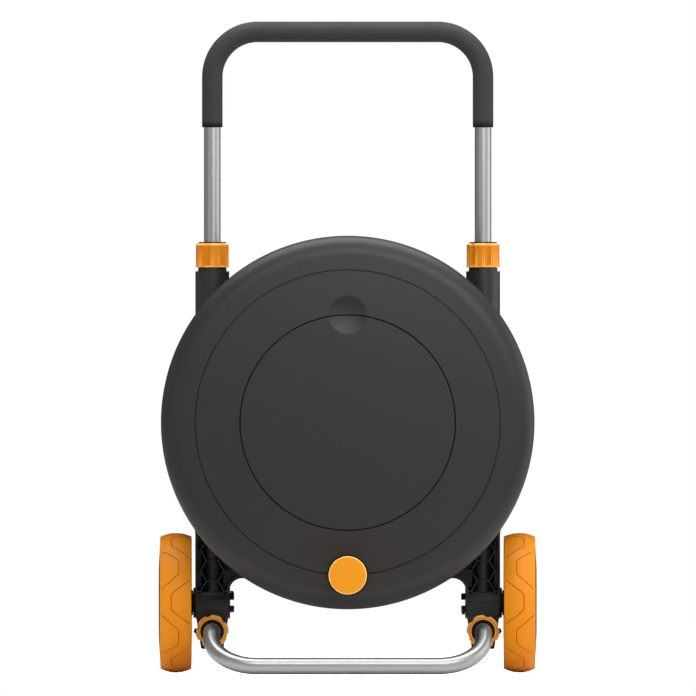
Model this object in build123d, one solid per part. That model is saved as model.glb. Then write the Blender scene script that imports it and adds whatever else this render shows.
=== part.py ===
from build123d import *
from math import asin, atan2, cos, degrees, hypot, radians, sin, sqrt, tan
import os

# A garden hose cart in millimetres. X runs to the viewer's right, the reel faces -Y, Z is up
# and the wheels and the foot stand on Z = 0. Every piece is built with the handle's tubes in
# the plane Y = 0, and moved at the end so that the whole cart is centred in depth. "Depth" is
# the distance in front of that plane.

# ---- Driving dimensions ----------------------------------------------------------------

CLEAR = 0.3                # gap between pieces of different bodies that don't bear
RUN_FIT = 0.05             # radial gap of a bearing
SEAT = 0.1                 # gap between a fixed piece and its seat

# Reel
DISC_RADIUS = 280.0
GROUND_GAP = 96.4          # under the disc
HOSE_SPACE = 134.0         # between the flanges
FACE_RISE = 23.0           # from the drum's front end to the middle of the lid
DOME_RISE = 8.0            # how far the middle stands in front of the rim
EDGE_ROUND = 21.5          # radius of the rounded rim
EDGE_LIP = 5.5             # straight lip behind the rounding
SKIN = 3.0                 # wall of the reel mouldings
LID_INSET = 118.7          # from the disc's edge to the lid's gap
LID_GAP = 1.5
GROOVE_INSET = 51.5        # from the disc's edge to the groove and the knob
GROOVE_WIDTH = 1.2
GROOVE_DEPTH = 0.7
SCOOP_RADIUS = 28.5
SCOOP_DEPTH = 9.0
LEDGE_WIDTH = 10.0         # seat under the lid's rim
LEDGE_DROP = 10.0          # how far the seat lies behind the face
LID_RING = 64.0            # radius of the stiffening ring under the lid
LID_RIBS = 6
RIB_TURN = 30.0            # turns radial ribs clear of the screws
TONGUE_WIDTH = 14.0
TONGUES = 4
DRUM_MARGIN = 6.7          # from the lid's gap out to the drum
REAR_FACE = 48.0           # depth of the rear flange's hose side
REAR_INSET = 8.0           # how much smaller the rear flange is
REAR_ROUND = 14.0
REAR_RIM = 19.0            # depth of the rear flange's rim
DRUM_SEAM = 15.0           # width of the drum's screw flanges
BOWL_TAPER = 23.3          # from the lid's gap in to the bowl's floor
BOWL_GAP = 13.0            # behind the bowl, for washer and bolt
BOWL_WALL = 2.5

# Reel axle and water path
AXLE_RADIUS = 17.0
AXLE_BORE = 7.0
HUB_BORE = 21.0
HUB_RADIUS = 26.0
HUB_LENGTH = 56.0          # in front of the rear flange's face
BOSS_RADIUS = 38.0
BOSS_BACK = 20.0
BUSH_LENGTH = 15.0
BUSH_FLANGE = 3.0
PORT_OFFSET = 19.0         # from the rear flange's face to the port and the feed pipe
PORT_RADIUS = 4.0
SEAL_SPACING = 22.0
SEAL_WIDTH = 4.0
AXLE_TIP_BORE = 4.0
AXLE_FLANGE_RADIUS = 30.0
AXLE_FLANGE = 5.0
SPIGOT_RADIUS = 7.9        # plain nose of the two hose fittings
SPIGOT_LENGTH = 14.0
SPIGOT_COLLAR = 10.7       # radii of the collar, groove and ring behind the nose
SPIGOT_GROOVE = 7.1
SPIGOT_RING = 9.5
NOSE_STEP = 3.0
INLET_DROP = 34.0          # length of the inlet elbow's downward arm
NIPPLE_THREAD = 10.0
NIPPLE_FLATS = 26.0
NIPPLE_HEX = 7.0
SEAL_THICKNESS = 2.0
FEED_RADIUS = 9.0
FEED_BORE = 6.0
OUTLET_ELBOW = 13.0        # reach of the outlet elbow from the drum and along it

# Winding knob
KNOB_RADIUS = 28.65
KNOB_LENGTH = 48.0
KNOB_CAP = 5.0
KNOB_WAIST = 25.5
KNOB_SEAT_RADIUS = 30.3
KNOB_SEAT = 3.0
SPINDLE_RADIUS = 6.5
SPINDLE_HEAD = 10.5
SPINDLE_HEAD_HEIGHT = 4.0
SPINDLE_FLATS = 16.9
KNOB_COUNTERBORE = 13.5

# Rear frame
BODY_INSET = 0.5           # how much smaller the round body is than the disc
UPRIGHT_INSET = 76.4       # from the disc's edge in to a handle tube's axis
LEG_WIDTH = 51.2
FRAME_FRONT = 22.0
FRAME_BACK = 4.0           # how far the rear skin reaches behind the tubes' plane
FRAME_SKIN = 3.0
FRAME_WALL = 3.6
NOTCH_RADIUS = 20.0        # inner fillet between leg and round body
SHOULDER_RADIUS = 30.0     # outer fillet between leg and round body
CELL_PITCH = 30.5          # honeycomb, flat to flat
CELL_RIB = 1.8
CELL_RISE = 48.0           # one cell's centre above the wheel's axis
RIB_FRONT = 20.0
RIB_DROP = 126.4           # top of the honeycomb below the reel's axis
SPOKES = 12
SPOKE_WALL = 3.0
SPOKE_FRONT = 18.0
SLEEVE_RADIUS = 25.5
SLEEVE_RISE = 227.1        # top of the sleeves above the reel's axis
SLEEVE_WALL = 3.0
GUIDE_RADIUS = 16.5
GLIDE_BORE = 13.6
GLIDE_DROP = 131.5         # from the sleeve's top to the shoulder that stops a glide

# Telescopic tubes
TUBE_RADIUS = 12.5
TUBE_WALL = 1.5
TUBE_GUIDE = 12.9          # bore that guides a tube
HANDLE_REACH = 375.5       # above the sleeves
HANDLE_BEND = 68.0
GRIP_RADIUS = 15.5
GRIP_DROP = 159.0          # from the handle's top to the grip's ends
GLIDE_LENGTH = 15.0
FOOT_FRONT = 287.0         # depth of the foot bar's front
SOCKET_DROP = 42.6         # foot tube's axis below the wheel's
FOOT_KNEE = 40.0           # bend radius under the socket
FOOT_CORNER = 67.5         # bend radius between leg and bar
FOOT_RUN = 4.0             # straight between the two bends
FOOT_TRAVEL = 75.0
PLUG_HEAD = 3.0

# Twist-lock collars; lengths run from the sleeve's end
NECK_RADIUS = 21.5
NECK_LENGTH = 5.5
COLLAR_RADIUS = 25.0
COLLAR_LIP_RADIUS = 25.3
COLLAR_LIP = 2.0
COLLAR_LENGTH = 36.3
COLLAR_ROUND = 3.0
COLLAR_MOUTH = 17.8
COLLAR_MOUTH_LENGTH = 4.1
FLUTES = 6
FLUTE_ANGLE = 22.0
FLUTE_DEPTH = 1.1
SPIGOT_THREAD = 20.0
SPIGOT_END = 30.0
COLLET_SEAT = 7.0
COLLET_RADIUS = 15.4
COLLET_FLANGE_RADIUS = 20.7
COLLET_FLANGE = 1.6
COLLET_SLOTS = 6
COLLET_SLOT = 1.5
HANDLE_FLUTE_TURN = -50.0  # one flute's angle from straight outwards

# Foot sockets under the legs
SOCKET_STEP = 1.7          # bracket's side behind the leg's side
SOCKET_TAPER = 7.1         # how far each side draws in towards the bottom
SOCKET_RISE = 19.2         # bracket's shoulder above the foot tube's axis
SOCKET_DEPTH = 26.7        # bracket's bottom below it
SOCKET_FRONT = 28.0
SOCKET_BACK = 22.0
SOCKET_ROUND = 3.0
STOP_DEPTH = -8.0          # depth of the stop screw
STOP_SHANK = 2.0
STOP_HEAD = 4.2
STOP_PROUD = 2.3           # how far the screw head stands out beyond the leg's side

# Wheels
WHEEL_RADIUS = 105.0
SHOULDER_DROP = 4.5
TYRE_GAP = 5.5             # between leg and tyre
TYRE_WIDTH = 47.2
BEAD_DEPTH = 16.7          # from the tread's crown to the tyre's inner edge
HOUSING_RADIUS = 23.6
HOUSING_PROUD = 1.3        # inner end in front of the leg's side
LAND_DEPTH = 12.0          # from the tread's crown to the hub's cover ring
HUB_STEP = 56.0
HUB_PROUD = 2.0
CAP_RADIUS = 29.9
STUB_RADIUS = 14.25
STUB_BORE = 9.0
STUB_HEAD = 20.0
STUB_HEAD_HEIGHT = 4.0
STUB_HEAD_DROP = 10.9      # depths of the steps behind the hub's face
CAP_DROP = 4.9
RECESS_DROP = 8.9
JAW_LENGTH = 6.0
JAW_SLOT = 8.8
JAW_SLIT = 34.0
BARB_RADIUS = 18.0
WHEEL_RIBS = 10
WHEEL_RIB = 3.0
AXLE_BUSH_WALL = 2.3
AXLE_BUSH_FLANGE = 2.8
AXLE_BUSH_FLANGE_RADIUS = 22.6
HUB_BOSS_RADIUS = 18.8

# Fasteners
SCREW_RADIUS = 2.0
SCREW_HEAD = 4.2
SCREW_HEAD_HEIGHT = 2.8
SCREW_LENGTH = 14.0
SCREW_BOSS = 4.5
FLANGE_SCREWS = 6
REAR_SCREW_TURN = 30.0     # turns the drum's rear screws clear of the feed pipe
AXLE_SCREWS = 4

# ---- Sizes that follow -----------------------------------------------------------------

REEL_HEIGHT = DISC_RADIUS + GROUND_GAP
LID_GAP_RADIUS = DISC_RADIUS - LID_INSET
GROOVE_RADIUS = DISC_RADIUS - GROOVE_INSET
DRUM_RADIUS = LID_GAP_RADIUS + DRUM_MARGIN
REAR_RADIUS = DISC_RADIUS - REAR_INSET
REAR_BACK = REAR_FACE - REAR_RIM
DRUM_FRONT = REAR_FACE + HOSE_SPACE
DISC_APEX = DRUM_FRONT + FACE_RISE
HUB_FRONT = REAR_FACE + HUB_LENGTH
PORT_DEPTH = REAR_FACE + PORT_OFFSET
BOWL_BACK = HUB_FRONT + BOWL_GAP
BOWL_FLOOR_RADIUS = LID_GAP_RADIUS - BOWL_TAPER
BODY_RADIUS = DISC_RADIUS - BODY_INSET
UPRIGHT_X = DISC_RADIUS - UPRIGHT_INSET
CELL_HEIGHT = WHEEL_RADIUS + CELL_RISE
RIB_TOP = REEL_HEIGHT - RIB_DROP
SLEEVE_TOP = REEL_HEIGHT + SLEEVE_RISE
GLIDE_STOP = SLEEVE_TOP - GLIDE_DROP
HANDLE_TOP = SLEEVE_TOP + HANDLE_REACH
GRIP_END = HANDLE_TOP - GRIP_DROP
SOCKET_HEIGHT = WHEEL_RADIUS - SOCKET_DROP
SOCKET_TOP_WIDTH = LEG_WIDTH - 2 * SOCKET_STEP
SOCKET_FOOT_WIDTH = SOCKET_TOP_WIDTH - 2 * SOCKET_TAPER
SOCKET_TOP = SOCKET_HEIGHT + SOCKET_RISE
SOCKET_FOOT = SOCKET_HEIGHT - SOCKET_DEPTH
TYRE_BEAD = WHEEL_RADIUS - BEAD_DEPTH
HUB_LAND = WHEEL_RADIUS - LAND_DEPTH
HOUSING_OUTER = UPRIGHT_X + LEG_WIDTH / 2
HOUSING_INNER = UPRIGHT_X - LEG_WIDTH / 2 - HOUSING_PROUD
TYRE_INNER = HOUSING_OUTER + TYRE_GAP
DOME_REACH = DISC_RADIUS - EDGE_ROUND
DOME_RADIUS = (DOME_REACH**2 + DOME_RISE**2) / (2 * DOME_RISE)
LID_RADIUS = LID_GAP_RADIUS - LID_GAP / 2
MOUTH_RADIUS = LID_GAP_RADIUS + LID_GAP / 2
LEDGE_FACE = DISC_APEX - LEDGE_DROP - SKIN
LEDGE_RADIUS = MOUTH_RADIUS - LEDGE_WIDTH
DRUM_BORE = DRUM_RADIUS - SKIN
SEAM_RADIUS = DRUM_RADIUS + DRUM_SEAM / 2
REAR_SEAM_RADIUS = DRUM_BORE - DRUM_SEAM / 2
BOSS_FRONT = SLEEVE_RADIUS
BOWL_RIM = LEDGE_RADIUS + BOWL_WALL
HUB_BACK = BOSS_FRONT + CLEAR + BUSH_FLANGE
WHEEL_OUTER = TYRE_INNER + TYRE_WIDTH
HUB_FACE = WHEEL_OUTER + HUB_PROUD
HUB_START = HOUSING_OUTER + AXLE_BUSH_FLANGE + CLEAR
HUB_COUNTERBORE = HUB_FACE - STUB_HEAD_DROP
STUB_FACE = HUB_COUNTERBORE + STUB_HEAD_HEIGHT
CAP_SEAT = HUB_FACE - CAP_DROP
RECESS_FACE = HUB_FACE - RECESS_DROP
STUB_BUSH = STUB_RADIUS + RUN_FIT
HOUSING_BORE = STUB_BUSH + AXLE_BUSH_WALL
TUBE_BORE = TUBE_RADIUS - TUBE_WALL
HANDLE_AXIS = HANDLE_TOP - GRIP_RADIUS
DEPTH_SHIFT = (FOOT_FRONT - WHEEL_RADIUS) / 2


def dome_sag(radius):
    """How far the domed face lies behind its apex at a radius."""
    return DOME_RADIUS - sqrt(DOME_RADIUS**2 - radius**2)


KNOB_FACE = DISC_APEX - dome_sag(GROOVE_RADIUS) + KNOB_SEAT
KNOB_BACK = KNOB_FACE + CLEAR
KNOB_FRONT = KNOB_BACK + KNOB_LENGTH - KNOB_CAP
SPINDLE_SEAT = KNOB_FRONT - 2 * SPINDLE_HEAD_HEIGHT


# Work planes: REEL looks forward from the reel's axis, FRONT from the ground's middle
REEL = Plane(origin=(0, 0, REEL_HEIGHT), x_dir=(1, 0, 0), z_dir=(0, -1, 0))
FRONT = Plane(origin=(0, 0, 0), x_dir=(1, 0, 0), z_dir=(0, -1, 0))

BOTTOM = (Align.CENTER, Align.CENTER, Align.MIN)


# ---- Helpers ---------------------------------------------------------------------------

def rod(radius, start, end):
    """A cylinder on the local Z axis."""
    return Pos(0, 0, start) * Cylinder(radius, end - start, align=BOTTOM)


def pipe(outer, inner, start, end):
    """A tube on the local Z axis."""
    return rod(outer, start, end) - rod(inner, start, end)


def turned(*corners):
    """A solid turned about the local Z axis from (radius, height) corners."""
    line = Polyline(*[(radius, 0, height) for radius, height in corners], close=True)
    return revolve(make_face(line), Axis.Z)


def spread(piece, count, start=0.0):
    """Copies of a piece, evenly turned about the local Z axis."""
    return [Rot(0, 0, start + 360 * i / count) * piece for i in range(count)]


def group(pieces):
    """Separate solids that share a node, such as a set of screws."""
    return Part() + pieces


def hexagon(flats, start, end):
    """A hexagonal bar on the local Z axis."""
    across = RegularPolygon(flats / 2, 6, major_radius=False)
    return Pos(0, 0, start) * extrude(across, end - start)


def mirrored(piece):
    """The same piece for the other side of the cart."""
    return mirror(piece, Plane.YZ)


def screw(length):
    """A pan-head screw with its head's seat at the origin, pointing along -Z."""
    head = rod(SCREW_HEAD, 0, SCREW_HEAD_HEIGHT)
    rim = head.edges().filter_by(GeomType.CIRCLE).sort_by(Axis.Z)[-1]
    return fillet(rim, SCREW_HEAD_HEIGHT / 3) + rod(SCREW_RADIUS, -length, 0)


# ---- Reel: front flange and lid --------------------------------------------------------

def rim_arc(across, height, radius):
    """Quarter arc of a rounded rim, from its front to its side, about a centre."""
    slant = radius * sqrt(0.5)
    return ThreePointArc(
        (across, 0, height + radius), (across + slant, 0, height + slant), (across + radius, 0, height)
    )


def dome_blank(inset, back):
    """Solid disc with the reel's domed face and rounded rim, that far inside them."""
    apex = DISC_APEX - inset
    side = DISC_RADIUS - inset
    level = DISC_APEX - DOME_RISE - EDGE_ROUND
    half = DOME_REACH / 2
    face = ThreePointArc(
        (0, 0, apex), (half, 0, apex - dome_sag(half)), (DOME_REACH, 0, apex - DOME_RISE)
    )
    rest = Polyline((side, 0, level), (side, 0, back), (0, 0, back), (0, 0, apex))
    edges = [face, rim_arc(DOME_REACH, level, EDGE_ROUND - inset), *rest.edges()]
    return revolve(make_face(edges), Axis.Z)


def domed_shell():
    """The reel's whole front skin, lid and flange in one, with the rounded rim."""
    lip_back = DISC_APEX - DOME_RISE - EDGE_ROUND - EDGE_LIP
    return dome_blank(0, lip_back) - dome_blank(SKIN, lip_back - SKIN)


def scoop_ball(grow):
    """The ball whose cap is the finger scoop over the lid's gap."""
    ball = (SCOOP_RADIUS**2 + SCOOP_DEPTH**2) / (2 * SCOOP_DEPTH)
    face = DISC_APEX - dome_sag(LID_GAP_RADIUS)
    centre = Pos(0, LID_GAP_RADIUS, face + ball - SCOOP_DEPTH)
    return centre * Sphere(ball + grow)


def scoop_backing():
    """The bulge behind the scoop, up to the skin's middle."""
    reach = SCOOP_RADIUS * 2
    level = DISC_APEX - dome_sag(LID_GAP_RADIUS) - SKIN / 2
    block = Pos(0, LID_GAP_RADIUS, level - reach / 2) * Box(reach, reach, reach)
    return scoop_ball(SKIN) & block


def knob_place():
    """Where the winding knob stands on the flange: straight under the axis."""
    return Pos(0, -GROOVE_RADIUS, 0)


def front_flange():
    """Domed ring with the lid's seat, the knob's seat, screw bosses and back ribs."""
    back = DRUM_FRONT + SKIN
    ring = domed_shell() - rod(MOUTH_RADIUS, 0, DISC_APEX)
    wall = pipe(MOUTH_RADIUS + SKIN, MOUTH_RADIUS, back, DISC_APEX - dome_sag(MOUTH_RADIUS) - SKIN / 2)
    ledge = pipe(MOUTH_RADIUS + SKIN / 2, LEDGE_RADIUS, LEDGE_FACE - SKIN, LEDGE_FACE)
    ledge -= scoop_ball(SKIN + CLEAR)
    rib_end = DOME_REACH - EDGE_ROUND / 2
    rib_length = rib_end - MOUTH_RADIUS - SKIN / 2
    rib = Pos(MOUTH_RADIUS + SKIN / 2 + rib_length / 2, 0, back + rib_length / 2)
    rib *= Box(rib_length, SKIN * 0.75, rib_length)
    under = dome_blank(SKIN / 2, 0)
    ribs = [part & under for part in spread(rib, 2 * FLANGE_SCREWS, 15)]
    boss = Pos(SEAM_RADIUS, 0, 0) * rod(SCREW_BOSS, back, DISC_APEX)
    seat = knob_place() * rod(KNOB_SEAT_RADIUS, KNOB_FACE - KNOB_SEAT - SKIN, KNOB_FACE)
    seat_boss = knob_place() * rod(SPINDLE_HEAD, back, KNOB_FACE - KNOB_SEAT)
    body = ring + wall + ledge + (scoop_backing() - rod(MOUTH_RADIUS, 0, DISC_APEX))
    bosses = [part & under for part in spread(boss, FLANGE_SCREWS)]
    body = body + ribs + bosses + seat + seat_boss
    body -= scoop_ball(0)
    face = DISC_APEX - dome_sag(GROOVE_RADIUS)
    groove = pipe(
        GROOVE_RADIUS + GROOVE_WIDTH / 2, GROOVE_RADIUS - GROOVE_WIDTH / 2, face - GROOVE_DEPTH, DISC_APEX
    )
    body -= groove - knob_place() * rod(KNOB_SEAT_RADIUS, 0, DISC_APEX)
    screw_hole = Pos(SEAM_RADIUS, 0, 0) * rod(SCREW_RADIUS, back, back + SCREW_LENGTH - SKIN)
    body -= spread(screw_hole, FLANGE_SCREWS)
    body -= knob_place() * rod(SPINDLE_RADIUS + SEAT, 0, 2 * DISC_APEX)
    return REEL * body


def lid():
    """Round flush lid with its rim, ribs, snap tongues and half of the scoop."""
    skin = domed_shell() & rod(LID_RADIUS, 0, DISC_APEX)
    under = dome_blank(SKIN / 2, 0)
    rim_radius = LEDGE_RADIUS + LEDGE_WIDTH / 2
    rim = pipe(rim_radius, rim_radius - SKIN, LEDGE_FACE + CLEAR, DISC_APEX) & under
    rim -= scoop_ball(SKIN / 2)
    rib_depth = DISC_APEX - 3 * SKIN
    ring = pipe(LID_RING, LID_RING - SKIN / 2, rib_depth, DISC_APEX) & under
    rib = Pos(rim_radius / 2, 0, DISC_APEX) * Box(rim_radius - SKIN, SKIN / 2, 6 * SKIN)
    ribs = [part & under for part in spread(rib, LID_RIBS, RIB_TURN)]
    ribs = [part - scoop_ball(SKIN / 2) for part in ribs]
    tongue = Box(SKIN, TONGUE_WIDTH, LEDGE_DROP + SKIN, align=BOTTOM)
    tongue = Pos(LEDGE_RADIUS - CLEAR - SKIN / 2, 0, LEDGE_FACE - SKIN + CLEAR) * tongue
    room = under & rod(LEDGE_RADIUS - CLEAR, 0, DISC_APEX)
    tongues = [part & room for part in spread(tongue, TONGUES, 45)]
    backing = scoop_backing() & rod(LID_RADIUS, 0, DISC_APEX)
    body = skin + rim + ring + ribs + tongues + backing - scoop_ball(0)
    return REEL * body


# ---- Reel: drum, bowl and rear flange ---------------------------------------------------

def to_port():
    """Local frame of the water's way out of the hub, Z away from the axle to the left."""
    return Pos(0, 0, PORT_DEPTH) * Rot(0, -90, 0)


def drum():
    """Hose drum: a cylinder with an outward front seam and an inward rear seam."""
    back = REAR_FACE + SEAT
    body = turned(
        (DRUM_RADIUS, back), (DRUM_RADIUS, DRUM_FRONT), (DRUM_RADIUS + DRUM_SEAM, DRUM_FRONT),
        (DRUM_RADIUS + DRUM_SEAM, DRUM_FRONT + SKIN - SEAT), (DRUM_BORE, DRUM_FRONT + SKIN - SEAT),
        (DRUM_BORE, back + SKIN), (DRUM_BORE - DRUM_SEAM, back + SKIN), (DRUM_BORE - DRUM_SEAM, back),
    )
    front_hole = Pos(SEAM_RADIUS, 0, 0) * rod(SCREW_RADIUS + SEAT, DRUM_FRONT - SKIN, DRUM_FRONT + 2 * SKIN)
    rear_boss = Pos(REAR_SEAM_RADIUS, 0, 0) * rod(SCREW_BOSS, back, back + SCREW_LENGTH)
    rear_bore = Pos(REAR_SEAM_RADIUS, 0, 0) * rod(SCREW_RADIUS, 0, back + SCREW_LENGTH - SKIN)
    body = body + spread(rear_boss, FLANGE_SCREWS, REAR_SCREW_TURN)
    body -= spread(front_hole, FLANGE_SCREWS) + spread(rear_bore, FLANGE_SCREWS, REAR_SCREW_TURN)
    outlet = rod(FEED_RADIUS + SEAT, DRUM_BORE - DRUM_SEAM, DRUM_RADIUS + SKIN)
    return REEL * (body - to_port() * outlet)


def storage_bowl():
    """Bowl inside the drum, hung under the lid's seat."""
    rim_face = LEDGE_FACE - SKIN - SEAT
    outer = MOUTH_RADIUS - SEAT
    body = turned(
        (0, BOWL_BACK), (BOWL_FLOOR_RADIUS, BOWL_BACK), (BOWL_RIM, rim_face - BOWL_WALL),
        (outer, rim_face - BOWL_WALL), (outer, rim_face), (BOWL_RIM - BOWL_WALL, rim_face),
        (BOWL_FLOOR_RADIUS - BOWL_WALL, BOWL_BACK + BOWL_WALL), (0, BOWL_BACK + BOWL_WALL),
    )
    floor = body.edges().filter_by(GeomType.CIRCLE).sort_by(Axis.Z)[0]
    return REEL * fillet(floor, BOWL_WALL * 2)


def rear_flange():
    """Rear reel flange with rolled rim, ribs and the long hub for the bushes."""
    centre = (REAR_RADIUS - REAR_ROUND, REAR_FACE - REAR_ROUND)
    inner = REAR_RADIUS - SKIN
    front = Polyline((HUB_BORE, 0, REAR_FACE - SKIN), (HUB_BORE, 0, REAR_FACE), (centre[0], 0, REAR_FACE))
    lip = Polyline(
        (REAR_RADIUS, 0, centre[1]), (REAR_RADIUS, 0, REAR_BACK), (inner, 0, REAR_BACK),
        (inner, 0, centre[1]),
    )
    back = Line((centre[0], 0, REAR_FACE - SKIN), (HUB_BORE, 0, REAR_FACE - SKIN))
    rims = [rim_arc(*centre, REAR_ROUND), rim_arc(*centre, REAR_ROUND - SKIN)]
    web = revolve(make_face([*front.edges(), *lip.edges(), back, *rims]), Axis.Z)
    hub = pipe(HUB_RADIUS, HUB_BORE, HUB_BACK, HUB_FRONT)
    rib_back = REAR_BACK + CLEAR
    rib_length = REAR_RADIUS - SKIN / 2 - HUB_RADIUS + SKIN / 2
    rib = Pos(HUB_RADIUS - SKIN / 2 + rib_length / 2, 0, rib_back)
    rib *= Box(rib_length, SKIN * 0.75, REAR_FACE - SKIN / 2 - rib_back, align=BOTTOM)
    core = rod(centre[0], 0, REAR_FACE - SKIN / 2)
    ribs = [part & core for part in spread(rib, 2 * FLANGE_SCREWS, 15)]
    gusset = Polyline(
        (HUB_RADIUS - SKIN / 2, 0, REAR_FACE - SKIN / 2), (3 * HUB_RADIUS, 0, REAR_FACE - SKIN / 2),
        (HUB_RADIUS - SKIN / 2, 0, HUB_FRONT - BUSH_LENGTH), close=True,
    )
    gusset = extrude(make_face(gusset), SKIN / 2, dir=(0, 1, 0), both=True)
    nipple = to_port() * pipe(FEED_RADIUS, PORT_RADIUS, HUB_RADIUS - SKIN, HUB_RADIUS + 4 * SKIN)
    body = web + hub + ribs + spread(gusset, FLANGE_SCREWS, RIB_TURN) + nipple
    body -= to_port() * rod(PORT_RADIUS, 0, HUB_RADIUS + 5 * SKIN)
    body -= rod(HUB_BORE, 0, HUB_FRONT + SKIN)
    hole = Pos(REAR_SEAM_RADIUS, 0, 0) * rod(SCREW_RADIUS + SEAT, 0, REAR_FACE + SKIN)
    return REEL * (body - spread(hole, FLANGE_SCREWS, REAR_SCREW_TURN))


def front_screws():
    """Screws from the drum's front seam into the front flange."""
    one = Pos(SEAM_RADIUS, 0, DRUM_FRONT) * Rot(180, 0, 0) * screw(SCREW_LENGTH - 2 * SEAT - CLEAR)
    return REEL * group(spread(one, FLANGE_SCREWS))


def rear_screws():
    """Screws from the rear flange into the drum."""
    one = Pos(REAR_SEAM_RADIUS, 0, REAR_FACE - SKIN) * Rot(180, 0, 0) * screw(SCREW_LENGTH - CLEAR)
    return REEL * group(spread(one, FLANGE_SCREWS, REAR_SCREW_TURN))


# ---- Reel: axle, bushes and water path --------------------------------------------------

def reel_axle():
    """Hollow axle fixed in the frame by its rear flange; water leaves by a side port."""
    back = -BOSS_BACK - AXLE_FLANGE
    shaft = rod(AXLE_RADIUS, back, HUB_FRONT + BUSH_FLANGE)
    flange = rod(AXLE_FLANGE_RADIUS, back, -BOSS_BACK - SEAT)
    bore = rod(AXLE_BORE, back, PORT_DEPTH + 2 * PORT_RADIUS)
    port = to_port() * rod(PORT_RADIUS, 0, AXLE_RADIUS + SKIN)
    tip = rod(AXLE_TIP_BORE, HUB_FRONT - BUSH_LENGTH, HUB_FRONT + BUSH_FLANGE)
    hole = Pos((AXLE_FLANGE_RADIUS + AXLE_RADIUS) / 2, 0, 0) * rod(SCREW_RADIUS + SEAT, back, -BOSS_BACK)
    return REEL * (shaft + flange - bore - port - tip - spread(hole, AXLE_SCREWS, 45))


def axle_screws():
    """Screws that hold the axle's flange on the frame's boss."""
    back = -BOSS_BACK - AXLE_FLANGE
    one = Pos((AXLE_FLANGE_RADIUS + AXLE_RADIUS) / 2, 0, back) * Rot(180, 0, 0) * screw(SCREW_LENGTH)
    return REEL * group(spread(one, AXLE_SCREWS, 45))


def reel_bush(front):
    """Flanged bush between axle and hub; front or rear one."""
    inner = AXLE_RADIUS + RUN_FIT
    outer = HUB_BORE - SEAT
    sleeve = pipe(outer, inner, 0, BUSH_LENGTH)
    flange = pipe(HUB_RADIUS - SEAT, inner, -BUSH_FLANGE, -SEAT / 2)
    body = sleeve + pipe(outer, inner, -BUSH_FLANGE, BUSH_LENGTH) + flange
    if front:
        return REEL * Pos(0, 0, HUB_FRONT) * Rot(180, 0, 0) * body
    return REEL * Pos(0, 0, HUB_BACK) * body


def axle_seals():
    """Two seal rings either side of the water port."""
    ring = pipe(HUB_BORE - RUN_FIT, AXLE_RADIUS + RUN_FIT, -SEAL_WIDTH / 2, SEAL_WIDTH / 2)
    rings = [Pos(0, 0, PORT_DEPTH + end * SEAL_SPACING / 2) * ring for end in (-1, 1)]
    return REEL * group(rings)


def axle_washer():
    """Washer that keeps the reel on its axle."""
    seat = HUB_FRONT + BUSH_FLANGE
    return REEL * pipe(HUB_RADIUS - SKIN, AXLE_TIP_BORE + SEAT, seat + SEAT, seat + SEAT + BUSH_FLANGE)


def axle_bolt():
    """Bolt through the washer into the axle's tip."""
    seat = HUB_FRONT + 2 * BUSH_FLANGE + SEAT
    shank = rod(AXLE_TIP_BORE, HUB_FRONT - BUSH_LENGTH + SEAT, seat)
    return REEL * (hexagon(3 * AXLE_TIP_BORE, seat, seat + AXLE_TIP_BORE) + shank)


def feed_pipe():
    """Pipe from the hub's nipple to the outlet fitting, inside the drum."""
    start = HUB_RADIUS + SKIN
    end = DRUM_BORE - 2 * SKIN
    body = pipe(FEED_RADIUS + SKIN, FEED_RADIUS + SEAT, start, start + 4 * SKIN)
    body += pipe(FEED_RADIUS + SKIN, FEED_BORE, start + 4 * SKIN, end)
    return REEL * to_port() * body


def click_nose(start):
    """Quick-coupling nose: a collar, a groove and the plain spigot, along +Z."""
    steps = [start + i * NOSE_STEP for i in range(4)]
    collar = rod(SPIGOT_COLLAR, steps[0], steps[1])
    groove = rod(SPIGOT_GROOVE, steps[1], steps[2])
    ring = rod(SPIGOT_RING, steps[2], steps[3])
    nose = rod(SPIGOT_RADIUS, steps[3], steps[3] + SPIGOT_LENGTH)
    rim = nose.edges().filter_by(GeomType.CIRCLE).sort_by(Axis.Z)[-1]
    return collar + groove + ring + chamfer(rim, NOSE_STEP / 3)


def hose_outlet():
    """Elbow through the drum wall, with a nose for the hose that lies along the drum."""
    reach = DRUM_RADIUS + OUTLET_ELBOW + SEAT
    shaft = Rot(0, -90, 0) * rod(FEED_RADIUS, DRUM_BORE - 2 * SKIN + SEAT, reach)
    seat = Rot(0, -90, 0) * rod(OUTLET_ELBOW, DRUM_RADIUS + 2 * SEAT, DRUM_RADIUS + SKIN)
    knee = Pos(-reach, 0, 0) * Sphere(FEED_RADIUS)
    out = rod(FEED_RADIUS, 0, OUTLET_ELBOW) + click_nose(OUTLET_ELBOW)
    out = Pos(-reach, 0, 0) * Rot(-90, 0, 0) * out
    bore = Rot(0, -90, 0) * rod(PORT_RADIUS, 0, reach)
    bore_out = Pos(-reach, 0, 0) * Rot(-90, 0, 0) * rod(PORT_RADIUS, 0, 10 * OUTLET_ELBOW)
    body = shaft + seat + knee + out - bore - bore_out
    return REEL * Pos(0, 0, PORT_DEPTH) * body


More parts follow.
